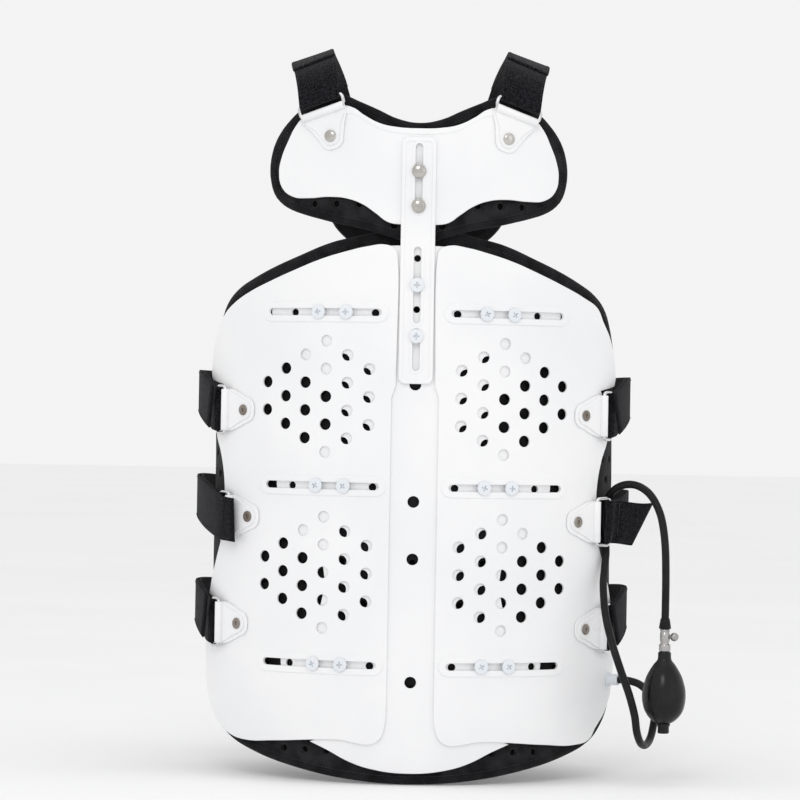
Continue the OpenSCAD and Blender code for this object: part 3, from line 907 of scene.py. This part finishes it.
BACK_LINER = [
    (0, 241), (18, 241.5), (30, 247), (58, 243.5), (83, 236.5), (107, 227.5), (133, 218), (158, 208),
    (182, 197), (200, 184.5), (214, 169), (226, 155), (242, 145), (252, 138), (252, -150), (243, -158),
    (226, -167), (206, -179), (184, -192), (150, -204), (104, -215), (50, -223.5), (0, -226),
]


def mirrored(half):
    """Both halves of an outline that starts and ends on the spine."""
    return half + [(-u, *rest) for u, *rest in reversed(half) if u != 0]


def top_tuck(u, v):
    """The top edge beside the spine bends in behind the upper liner, which slides over it."""
    return 6.8 * smooth_step((v - 221) / 13) * (1 - smooth_step((abs(u) - 56) / 22))


# ---- upper back --------------------------------------------------------------------------------

THORACIC_LINER = [
    (0, 342), (20, 345.5), (37, 353), (55, 360.5), (70, 366), (88, 363), (110, 353), (120, 345),
    (128, 337), (135, 327), (139.5, 315), (141, 303), (139.5, 292), (135.5, 282), (128, 274.5),
    (118, 269), (104, 264.5), (88, 260.5), (73, 257), (59, 254.5), (44, 251.3), (31, 247.5), (16, 243.5),
    (0, 242),
]


def make_upper_back():
    half = [
        (0, 338), (20, 339), (34, 342), (48, 349), (58, 355.5), (68, 357.5), (84, 354), (103, 348.5),
        (112, 340), (119, 328), (126, 313), (128.5, 300), (125, 287), (114, 279), (98, 277.5),
        (78, 278.5), (62, 277), (48, 272), (36, 264), (26, 257), (14, 255), (0, 255),
    ]
    white_plate("upper_back_shell", [mirrored(half)], PLATE_T, 0.8, wrap(0), "upper_back",
                ["thoracic_plate"], tall=24)
    crest = [(0, 338), (20, 339), (34, 342), (48, 349), (57, 354.2)]
    outer = [(u, v - 0.9) for u, v in crest] + [(64, 355.2), (68, 351.5), (61, 350.2)]
    inner = [(u * 0.97, v - 5.2) for u, v in reversed(crest)]
    white_plate("upper_back_rim", [mirrored(outer + inner)], 1.2, 0.5, wrap(PLATE_T - 0.5), "upper_back")
    make_liner("upper_liner", mirrored(THORACIC_LINER), "upper_back", "thoracic_liner", margin=9.5)


def rounded_box(u0, u1, v0, v1, r):
    """Rectangle outline with round corners."""
    corners = ((u1 - r, v1 - r, 0), (u0 + r, v1 - r, 90), (u0 + r, v0 + r, 180), (u1 - r, v0 + r, 270))
    turns = [(u, v, radians(start + a)) for u, v, start in corners for a in range(0, 91, 15)]
    return [(u + r * cos(a), v + r * sin(a), 1) for u, v, a in turns]


def make_strut(name, node, body, low, high, spans, front=False):
    """Flat bar with slots, a thicker border and a border round each slot."""
    half = 14.5
    slots = [stadium(0, 0.001, a + SLOT_R, b - SLOT_R, SLOT_R) for a, b in spans]
    white_plate(f"{name}_bar", [rounded_box(-half, half, low, high, 5.5)] + slots, 3.2, 0.8,
                wrap(WING_IN, front), body, [node], strip=5)
    rim = [rounded_box(-half + 0.4, half - 0.4, low + 0.4, high - 0.4, 5.2),
           rounded_box(-half + 3.4, half - 3.4, low + 3.4, high - 3.4, 3.4)]
    raised = wrap(WING_IN + 2.7, front)
    white_plate(f"{name}_border", rim, 1.3, 0.5, raised, body, strip=5)
    for k, (a, b) in enumerate(spans):
        lip = stadium(0, 0.001, a + SLOT_R, b - SLOT_R, SLOT_R + 2.6)
        white_plate(f"{name}_slot_lip_{k}", [lip, slots[k]], 1.1, 0.45, raised, body, strip=5)


# ---- screws ------------------------------------------------------------------------------------

SCREW_R = 6.15
SHANK_R = 2.5
CROSS_ARM = 2.6
CROSS_HALF = 0.6
CROSS_DEPTH = 1.6


def cross_prism(matrix, reach, half, low, high):
    """Upright cross, to cut a screw's recess with."""
    quarter = [(reach, -half), (reach, half), (half, half)]
    outline = []
    for _ in range(4):
        outline += quarter
        quarter = [(-y, x) for x, y in quarter]
    rings = [[matrix @ Vector((x, y, z)) * MM for x, y in outline] for z in (low, high)]
    return skin("cutter", rings)


def screw_head(name, matrix, radius, height, dome, shank):
    """Round head with a soft rim and a cross recess, or a plain dome, on its shank."""
    steps = 6
    profile = [(0.02, -shank), (SHANK_R, -shank), (SHANK_R, 0), (radius * 0.9, 0), (radius, 0.25)]
    if dome:
        turns = [radians(a) for a in range(0, 88, 8)]
        profile += [(radius * cos(a), 0.4 + height * sin(a)) for a in turns]
    else:
        profile += [(radius, height * 0.45)]
        turns = [pi / 2 * k / steps for k in range(1, steps)]
        profile += [(radius - 1 + cos(a), height * (0.45 + 0.5 * sin(a))) for a in turns]
        profile += [(radius * 0.6, height * 0.97), (radius * 0.3, height), (0.02, height)]
    head = lathe(name, profile, matrix)
    if not dome:
        cutter = cross_prism(matrix, CROSS_ARM, CROSS_HALF, height - CROSS_DEPTH, height + 1)
        cut = head.modifiers.new("recess", "BOOLEAN")
        cut.object = cutter
        cut.solver = "EXACT"
        apply_modifiers(head)
        bpy.data.objects.remove(cutter)
    return head


def apply_modifiers(obj):
    bpy.context.view_layer.update()
    mesh = bpy.data.meshes.new_from_object(obj.evaluated_get(bpy.context.evaluated_depsgraph_get()))
    obj.modifiers.clear()
    obj.data = mesh


def make_screws():
    """Twelve wing screws and two strut screws with a cross, and two plain domes above."""
    border_top = WING_OUT + 1 + GAP
    strut_top = WING_IN + 4 + GAP
    shank_end = -1.4
    wing_turn = 12
    wing = [(side * a, z) for z in SLOT_Z for side in (-1, 1) for a in (16.3, 23)]
    groups = (
        ("wing_screw", "wing_screws", wing, border_top, wing_turn, False, "back_panel"),
        ("strut_screw", "strut_screws", [(0, 203), (0, 159)], strut_top, 0, False, "back_panel"),
        ("upper_screw", "thoracic_screws", [(0, 301), (0, 271)], strut_top, 0, True, "upper_back"),
    )
    for name, node, places, top, turn, dome, body in groups:
        for k, (angle, z) in enumerate(places):
            matrix = frame_on_back(angle, z, top, spin=turn * k)
            height = 2.6 if dome else 2.2
            head = screw_head(f"{name}_{k}", matrix, SCREW_R, height, dome, top - shank_end)
            paint, slot = (POLISHED, "steel") if dome else (WHITE_SCREW, "white_plastic")
            finish_piece(head, paint, body, slot, [] if k else [node])
            head.data.set_sharp_from_angle(angle=radians(50))


# ---- tabs and rings ----------------------------------------------------------------------------

TAB_LEN = 22
LEAF_T = 1.2
SLEEVE_R = 3.4
SIDE_SLEEVE = 36
SHOULDER_SLEEVE = 40
WIRE_R = 1.5
SIDE_RING = 41
SHOULDER_RING = 41.5
RING_REACH = 10


def tab_shape(grow, sleeve):
    """Leaf outline: round at the rivet, straight at the sleeve."""
    h = sleeve / 2
    upper = [(TAB_LEN, h, 1), (TAB_LEN - 5, h - 0.5 + grow * 0.3), (8, 13.5 + grow), (-0.5, 9.8 + grow),
             (-7.2 - grow, 6.4 + grow * 0.6)]
    lower = [(u, -v, *rest) for u, v, *rest in reversed(upper)]
    return [(-9.5 - grow, 0)] + lower + upper


def make_tab(name, matrix, sleeve, body, node):
    """Folded sheet: a wide lower leaf, a narrower upper leaf and the loop that holds the ring."""
    hole = ring_points(0, 0, 2.5)
    over = matrix @ Matrix.Translation((0, 0, LEAF_T))
    white_plate(f"{name}_lower_leaf", [tab_shape(2.2, sleeve), hole], LEAF_T, 0.45, flat(matrix), body,
                [node], strip=None, paint=WHITE_TAB)
    white_plate(f"{name}_upper_leaf", [tab_shape(-1.4, sleeve - 1), hole], LEAF_T, 0.45, flat(over), body,
                strip=None, paint=WHITE_TAB)
    sideways = Matrix.Rotation(radians(-90), 4, "X")
    turn = matrix @ Matrix.Translation((TAB_LEN, -sleeve / 2, SLEEVE_R)) @ sideways
    r, bore, e = SLEEVE_R, WIRE_R + 0.3, 0.5
    profile = [(bore, e), (bore + e, 0), (r - e, 0), (r, e), (r, sleeve - e), (r - e, sleeve),
               (bore + e, sleeve), (bore, sleeve - e), (bore, e)]
    loop = lathe(f"{name}_sleeve", profile, turn, 32, caps=False)
    finish_piece(loop, WHITE_TAB, body, "white_plastic")


def wire_ring(name, matrix, width, spread, body, node):
    """Rectangular ring of round wire with bent corners, in the local XY plane."""
    outline = rounded_box(0, spread, -width / 2, width / 2, 3.2)
    ring = round_bar(name, [matrix @ Vector((x, y, 0)) for x, y, _ in outline], WIRE_R, 4)
    ring.data.splines[0].use_cyclic_u = True
    finish_piece(ring, CHROME, body, "steel", [node])


# ---- straps ------------------------------------------------------------------------------------

def sleeve_place(i):
    """Plan place of the axis of a side tab's sleeve."""
    a = radians(TAB_A[i])
    r = ARC_R + WING_OUT + GAP + SLEEVE_R
    x = r * sin(a) + TAB_LEN * cos(a)
    y = ARC_Y - r * cos(a) + TAB_LEN * sin(a)
    return Vector((x, y, 0))


def is_loose(i, sign):
    """The right middle strap holds the hose, so it stands further out and ends in a loose tail."""
    return sign > 0 and i == 1


def strap_lift(i, sign):
    return 4 if is_loose(i, sign) else 0


def leg_place(i, sign):
    """Plan place of the ring's outer leg."""
    p = sleeve_place(i)
    o = 10.5 + strap_lift(i, sign)
    a = atan2(p.y, p.x - SIDE_X) + radians(6.5)
    return Vector((SIDE_X + (SIDE_R + o) * cos(a), (SIDE_R + o) * sin(a), 0))


def u_of(point):
    """Arc length on the oval of a plan point near the right side arc."""
    return BACK_LEN + SIDE_R * (atan2(point.y, point.x - SIDE_X) + pi / 2 - SEAM)


# Middle of the side straps' layers, as offsets from the oval: up to the ring, back over, and the tail
UNDER_O = 9.7
OVER_O = 11.7
TAIL_O = 13.6
PATCH_DROP = 3.1
# Where the tails start, as lengths past the ring's leg
TAIL_START = {"left": (5, 8, 7), "right": (3, 3, 3)}

STRAP_T = 1.6
STRAP_W = 37.6
TAIL_W = 38
STRAP_CLIMB = 16
RING_CLEAR = WIRE_R + 0.15 + STRAP_T / 2
HALF_TURN = [radians(k) for k in range(0, 181, 20)]
SILHOUETTE_U = BACK_LEN + SIDE_R * (pi / 2 - SEAM)


def smooth_step(value):
    t = min(1, max(0, value))
    return t * t * (3 - 2 * t)


def strap_rise(u, u_leg, loose):
    """The straps climb towards the side of the body and come level again in front.

    The strap with the hose in it climbs later and less, to stay clear of the hose.
    """
    part = min(1, max(0, (u - u_leg) / (SILHOUETTE_U - u_leg)))
    up = 0.5 * smooth_step(part) if loose else sin(pi / 2 * part)
    return STRAP_CLIMB * up * (1 - smooth_step((u - SILHOUETTE_U - 20) / 150))


def upright(points, sign, z):
    """Stations of a strap on edge, from (x, y, rise) in plan."""
    stations = []
    n = len(points)
    for i, (x, y, rise) in enumerate(points):
        before, after = points[max(i - 1, 0)], points[min(i + 1, n - 1)]
        along = Vector((after[0] - before[0], after[1] - before[1], after[2] - before[2])).normalized()
        flat_out = Vector((along.y, -along.x, 0)).normalized()
        across = flat_out.cross(along)
        across = across if across.z > 0 else -across
        flip = Vector((sign, 1, 1))
        stations.append((Vector((x, y, z + rise)) * flip, across * flip, flat_out * flip))
    return stations


def along_body(i, sign):
    """A function of arc length and offset, for the points of one side strap."""
    lift = strap_lift(i, sign)
    u_leg = u_of(leg_place(i, sign))

    def point(u, o):
        x, y, _, _ = oval(u, o + lift)
        return (x, y, strap_rise(u, u_leg, is_loose(i, sign)))
    return point


def loose_end(start):
    """Points of the loose tail: it leaves the ring, stands away from the body and drops a little."""
    points = []
    for k in range(1, 14):
        run, a = 2.5 * k, 0.95 - 0.42 * smooth_step(k / 5)
        x, y = start.x + run * cos(a), start.y + run * sin(a)
        points.append((x, y, -2 * smooth_step(run / 30)))
    return points


def make_strap_web(side, sign, i):
    """Strap from the front patch, round the side, through the ring and back over itself."""
    body = name = f"{side}_{ROWS[i]}_strap"
    loose = is_loose(i, sign)
    leg = leg_place(i, sign)
    u_leg = u_of(leg)
    point = along_body(i, sign)
    inner = []
    pitch = 6
    patches_near = 330
    u = FRONT_U - degrees_u(17)
    while u > u_leg + pitch:
        drop = (PATCH_DROP + strap_lift(i, sign)) * smooth_step((u - patches_near) / 90)
        inner.append(point(u, UNDER_O - drop))
        u -= pitch
    _, _, nx, ny = oval(u_leg, 0)
    n, t = Vector((nx, ny, 0)), Vector((ny, -nx, 0))
    bend = [leg - n * cos(a) * RING_CLEAR + t * sin(a) * RING_CLEAR for a in HALF_TURN]
    outer = loose_end(bend[-1]) if loose else [point(u_leg + step, OVER_O) for step in range(7, 52, 5)]
    web = upright(inner + [(p.x, p.y, 0) for p in bend] + outer, sign, STRAP_Z[i])
    strap = strap_mesh(f"{name}_web", web, STRAP_W, STRAP_T, (0, 11 if loose else 0))
    finish_piece(strap, STRAP, body, "webbing", [f"strap_{side}_{ROWS[i]}"])
    over = web[-len(outer):]
    edge_stitches(name, over[:-5] if loose else over, STRAP_W, STRAP_T, body)
    if loose:
        centre, across, out = over[2]
        seam = [centre + across * k + out * (STRAP_T / 2 - 0.1) for k in (-16, 0, 16)]
        finish_piece(stitches(f"{name}_seam_stitches", seam, [out] * 3, 2.6), THREAD, body, "webbing")


def sleeve_cover(i):
    """Points of a tail's first stretch, which lies over the tab's sleeve, and its bend in plan."""
    sleeve = sleeve_place(i)
    tangent, out = back_directions(radians(TAB_A[i]))
    cover = []
    for along, stand in ((-11, 4.6), (-6, 4.7), (0, 4.9), (5, 5.0)):
        p = sleeve + tangent * along + out * stand
        cover.append((p.x, p.y, -2.5 + 0.1 * along))
    return cover, sleeve - tangent * 3, sleeve + tangent * 9


def make_strap_tail(side, sign, i):
    """Free tail on top of a strap. The left middle one starts on its tab and bends at the ring."""
    body = f"{side}_{ROWS[i]}_strap"
    name = f"{body}_tail"
    u_leg = u_of(leg_place(i, sign))
    point = along_body(i, sign)
    points = []
    if sign < 0 and i == 1:
        points, *bend = sleeve_cover(i)
        mirror, level = Vector((sign * MM, MM, MM)), Vector((0, 0, STRAP_Z[i]))
        body = (f"{side}_{ROWS[i]}_tab", body, *((p + level) * mirror for p in bend))
    for step in range(TAIL_START[side][i], 150, 6):
        stand = TAIL_O - 0.9 * smooth_step((step - 60) / 60) - 3.2 * smooth_step((step - 110) / 40)
        points.append(point(u_leg + step, stand))
    tail = upright(points, sign, STRAP_Z[i])
    finish_piece(strap_mesh(name, tail, TAIL_W, STRAP_T, (3 if sign < 0 else 0, 0)), STRAP, body, "webbing")
    edge_stitches(name, tail[1:-1], TAIL_W, STRAP_T, body)


def make_sides():
    for side, sign in SIDES:
        for i, row in enumerate(ROWS):
            z = STRAP_Z[i]
            matrix = frame_on_back(TAB_A[i], z, WING_OUT + GAP, 0, sign)
            make_tab(f"{side}_{row}_tab", matrix, SIDE_SLEEVE, f"{side}_{row}_tab", f"tab_{side}_{row}")
            p, q = sleeve_place(i), leg_place(i, sign)
            up = Vector((0, 0, 1))
            heading = (q - p).normalized()
            m = Matrix((heading, up, heading.cross(up))).transposed().to_4x4()
            m.translation = p + up * z
            if sign < 0:
                m = MIRROR @ m
            wire_ring(f"{side}_{row}_wire_ring", m, SIDE_RING, (q - p).length, f"{side}_{row}_strap",
                      f"ring_{side}_{row}")
            make_strap_web(side, sign, i)
            if not is_loose(i, sign):
                make_strap_tail(side, sign, i)


SHOULDER_PATH = [
    (88, -123, 368), (89, -121, 378), (91, -112, 389.5), (93, -95, 397), (94, -70, 401.5),
    (94, -30, 403), (93, 20, 403), (90, 65, 399), (85, 98, 388), (79, 118, 369), (73, 130, 345),
    (68, 135, 320), (66, 135, 296),
]
# Turn of the strap's width about the vertical, and its slope outward, at those points
SHOULDER_YAW = (21, 18, 14, 10, 6, 2, -2, -6, -10, -14, -17, -17, -17)
SHOULDER_LEAN = (18, 19, 20, 20, 19, 18, 17, 15, 12, 9, 6, 4, 2)
# Middle of the shoulder strap's layers, over that path: upper run, lower run and the flap on top
SHOULDER_LIFTS = (0.9, -1.0, 2.8)
LOWER_STEPS = 14
FLAP_STEPS = 30
FLAP_TOP = 392
SHOULDER_W = 38
FLAP_W = 39
FLAP_T = 1.9


def spread(values, steps):
    """A list of angles at the steps of a smooth path."""
    n = len(values) - 1
    fine = [values[i] + (values[i + 1] - values[i]) * k / steps for i in range(n) for k in range(steps)]
    return fine + [values[n]]


def ribbon_stations(path, yaws, leans, lift):
    """Stations over the shoulder. Near the ring the width stays square to the ring's leg."""
    stations = []
    n = len(path)
    run = 0
    for i, p in enumerate(path):
        run += (p - path[i - 1]).length if i else 0
        along = (path[min(i + 1, n - 1)] - path[max(i - 1, 0)]).normalized()
        yaw, lean = radians(yaws[i]), radians(leans[i])
        w = Vector((cos(yaw) * cos(lean), sin(yaw) * cos(lean), -sin(lean)))
        across = (w - along * w.dot(along) * smooth_step((run - 12) / 60)).normalized()
        out = across.cross(along).normalized()
        stations.append((p + out * lift, across, out))
    return stations


def flipped(stations, sign):
    flip = Vector((sign, 1, 1))
    return [tuple(v * flip for v in station) for station in stations]


def make_shoulders():
    steps = 5
    path = catmull(SHOULDER_PATH, steps)
    yaws, leans = spread(SHOULDER_YAW, steps), spread(SHOULDER_LEAN, steps)
    over, under, on_top = (ribbon_stations(path, yaws, leans, lift) for lift in SHOULDER_LIFTS)
    right = frame_on_back(*SHOULDER_TAB, PLATE_T + GAP, SHOULDER_TURN)
    turn = right.to_3x3()
    leg = right @ Vector((TAB_LEN + RING_REACH, 0, SLEEVE_R))
    outs = [turn @ Vector((-sin(a), 0, -cos(a))) for a in HALF_TURN]
    bend = [(leg + out * RING_CLEAR, -turn.col[1], out) for out in outs]
    top = next(k for k, p in enumerate(path) if p.z > FLAP_TOP)
    for side, sign in SIDES:
        matrix = frame_on_back(*SHOULDER_TAB, PLATE_T + GAP, SHOULDER_TURN, sign)
        make_tab(f"{side}_shoulder_tab", matrix, SHOULDER_SLEEVE, f"{side}_shoulder_tab",
                 f"shoulder_tab_{side}")
        body = f"{side}_shoulder_strap"
        ring_at = matrix @ Matrix.Translation((TAB_LEN, 0, SLEEVE_R))
        wire_ring(f"{side}_shoulder_wire_ring", ring_at, SHOULDER_RING, RING_REACH, body,
                  f"shoulder_ring_{side}")
        behind = [(c, across, -out) for c, across, out in reversed(under[:LOWER_STEPS])]
        web = flipped(behind + bend + over[1:], sign)
        lower = strap_mesh(f"{side}_shoulder_strap_web", web, SHOULDER_W, STRAP_T)
        finish_piece(lower, STRAP, body, "webbing", [f"shoulder_strap_{side}"])
        edge_stitches(f"{side}_shoulder_strap", flipped(over[2:], sign), SHOULDER_W, STRAP_T, body)
        flap = flipped(on_top[top:top + FLAP_STEPS], sign)
        upper = strap_mesh(f"{side}_shoulder_strap_flap", flap, FLAP_W, FLAP_T)
        finish_piece(upper, STRAP, body, "webbing")
        edge_stitches(f"{side}_shoulder_flap", flap[:-1], FLAP_W, FLAP_T, body)


# ---- pump --------------------------------------------------------------------------------------

def make_pump():
    down = Matrix.Translation(PUMP)
    ferrule = [(3.3, 0), (3.9, 0), (4.4, -2.5), (4.9, -5.5), (5.3, -8.2), (5.2, -8.9), (4.0, -9)]
    barrel = [
        (3.6, -9), (4.2, -9.3), (4.2, -11), (3.8, -11.4), (3.8, -12.2), (4.2, -12.6), (4.2, -20),
        (3.7, -20.6), (3.7, -22), (4.6, -22.6), (5.0, -23.2), (5.0, -28), (4.6, -28.6), (4.0, -29),
    ]
    out = down @ Matrix.Translation((0, 0, -16)) @ Matrix.Rotation(radians(90), 4, "Y")
    stem = [(1.5, 2.5), (1.5, 4.6), (1.9, 4.8), (1.9, 5.4), (2.4, 5.6)]
    turns = [radians(a) for a in range(40, 179, 9)]
    ball = [(3.8 * sin(a), 8.2 - 3.8 * cos(a)) for a in turns]
    top = -29
    bulb = [
        (4.6, 0), (5.6, -0.6), (5.7, -3), (5.9, -6), (6.8, -8), (9.2, -10.8), (12.0, -15), (14.8, -20),
        (17.0, -26), (18.5, -32), (19.0, -38), (18.6, -44), (17.2, -50), (14.6, -55), (11.0, -59),
        (7.6, -61.4), (5.6, -62),
    ]
    round_bulb = [(p.x, p.z + top) for p in catmull([(r, 0, h) for r, h in bulb], 3)]
    inlet = [
        (5.4, -62), (5.9, -62.6), (5.9, -64), (5.2, -64.6), (5.0, -66), (5.0, -70), (4.5, -71), (2.6, -71),
        (2.4, -69.5), (0.1, -69.5),
    ]
    cap = [(r, h + top) for r, h in inlet]
    parts = (
        ("hose_flare", ferrule, down, 48, HOSE_RUBBER, "right_wing", "rubber", "hose_ferrule"),
        ("valve_barrel", barrel, down, 48, NICKEL, "right_wing", "steel", "valve_body"),
        ("release_knob_ball", stem + ball, out, 40, NICKEL, "release_knob", "steel", "valve_knob"),
        ("pump_bulb_skin", round_bulb, down, 72, RUBBER, "right_wing", "rubber", "pump_bulb"),
        ("inlet_cap_turned", cap, down, 48, RUBBER, "right_wing", "rubber", "inlet_cap"),
    )
    pieces = [
        finish_piece(lathe(name, profile, matrix, segments), paint, body, slot, [node])
        for name, profile, matrix, segments, paint, body, slot, node in parts
    ]
    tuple(hose_exit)


# ---- front half --------------------------------------------------------------------------------

FRONT_PLATE = [
    (0, 118), (30, 118), (58, 122), (82, 121), (100, 112), (110, 92), (108, 50), (106, 10), (108, -50),
    (112, -96), (108, -120), (96, -133), (60, -142), (0, -143),
]
FRONT_LINER = [
    (0, 126), (30, 126), (60, 131), (86, 131), (108, 121), (122, 96), (120, 50), (118, 10), (120, -50),
    (124, -98), (119, -126), (104, -143), (64, -153), (0, -155),
]
STERNAL_PLATE = [
    (0, 328), (28, 328), (52, 326), (70, 319), (79, 305), (78, 284), (66, 266), (46, 254), (24, 249),
    (0, 249),
]
STERNAL_LINER = [
    (0, 337), (30, 337), (56, 334), (76, 326), (87, 308), (86, 280), (72, 258), (48, 245), (24, 240),
    (0, 240),
]


def make_front():
    cases = (
        ("front", "back_panel", FRONT_PLATE, FRONT_LINER, "front_plate", "front_liner"),
        ("sternal", "chest", STERNAL_PLATE, STERNAL_LINER, "sternal_plate", "sternal_liner"),
    )
    for name, body, hard, soft, plate_node, liner_node in cases:
        white_plate(f"{name}_shell", [mirrored(hard)], PLATE_T, 0.8, wrap(0, True), body, [plate_node],
                    tall=24)
        make_liner(f"{name}_liner", mirrored(soft), body, liner_node, front=True)
    make_strut("front_strut", "front_strut", "chest_strut", 44, 322, [(250, 312), (52, 118)], True)
    for name in ("front_screws", "sternal_screws"):
        paint_node(nodes[name], WHITE_SCREW)
    for name in ("front_patches", "sternal_patches"):
        paint_node(nodes[name], HOOK)


def paint_hidden():
    """Small CAD pieces that show as they are, or lie behind the plates."""
    for name in ("wing_nuts", "strut_nuts", "front_nuts", "sternal_nuts", "hose_grommet"):
        paint_node(nodes[name], WHITE_SCREW)
    paint_node(nodes["thoracic_nuts"], NICKEL)
    paint_node(nodes["air_bladder"], BLADDER, 1.0)


make_stage()
make_light()
for side_name, side_sign in SIDES:
    make_wing(side_name, side_sign)
make_center_plate()
make_liner("back_liner", mirrored(BACK_LINER), "back_panel", "back_liner", tuck=top_tuck)
make_upper_back()
make_strut("rear_strut", "back_strut", "rear_strut", 118, 330, [(265, 325), (170, 236), (129, 165.5)])
make_screws()
make_rivets()
make_sides()
make_shoulders()
make_pump()
make_front()
paint_hidden()
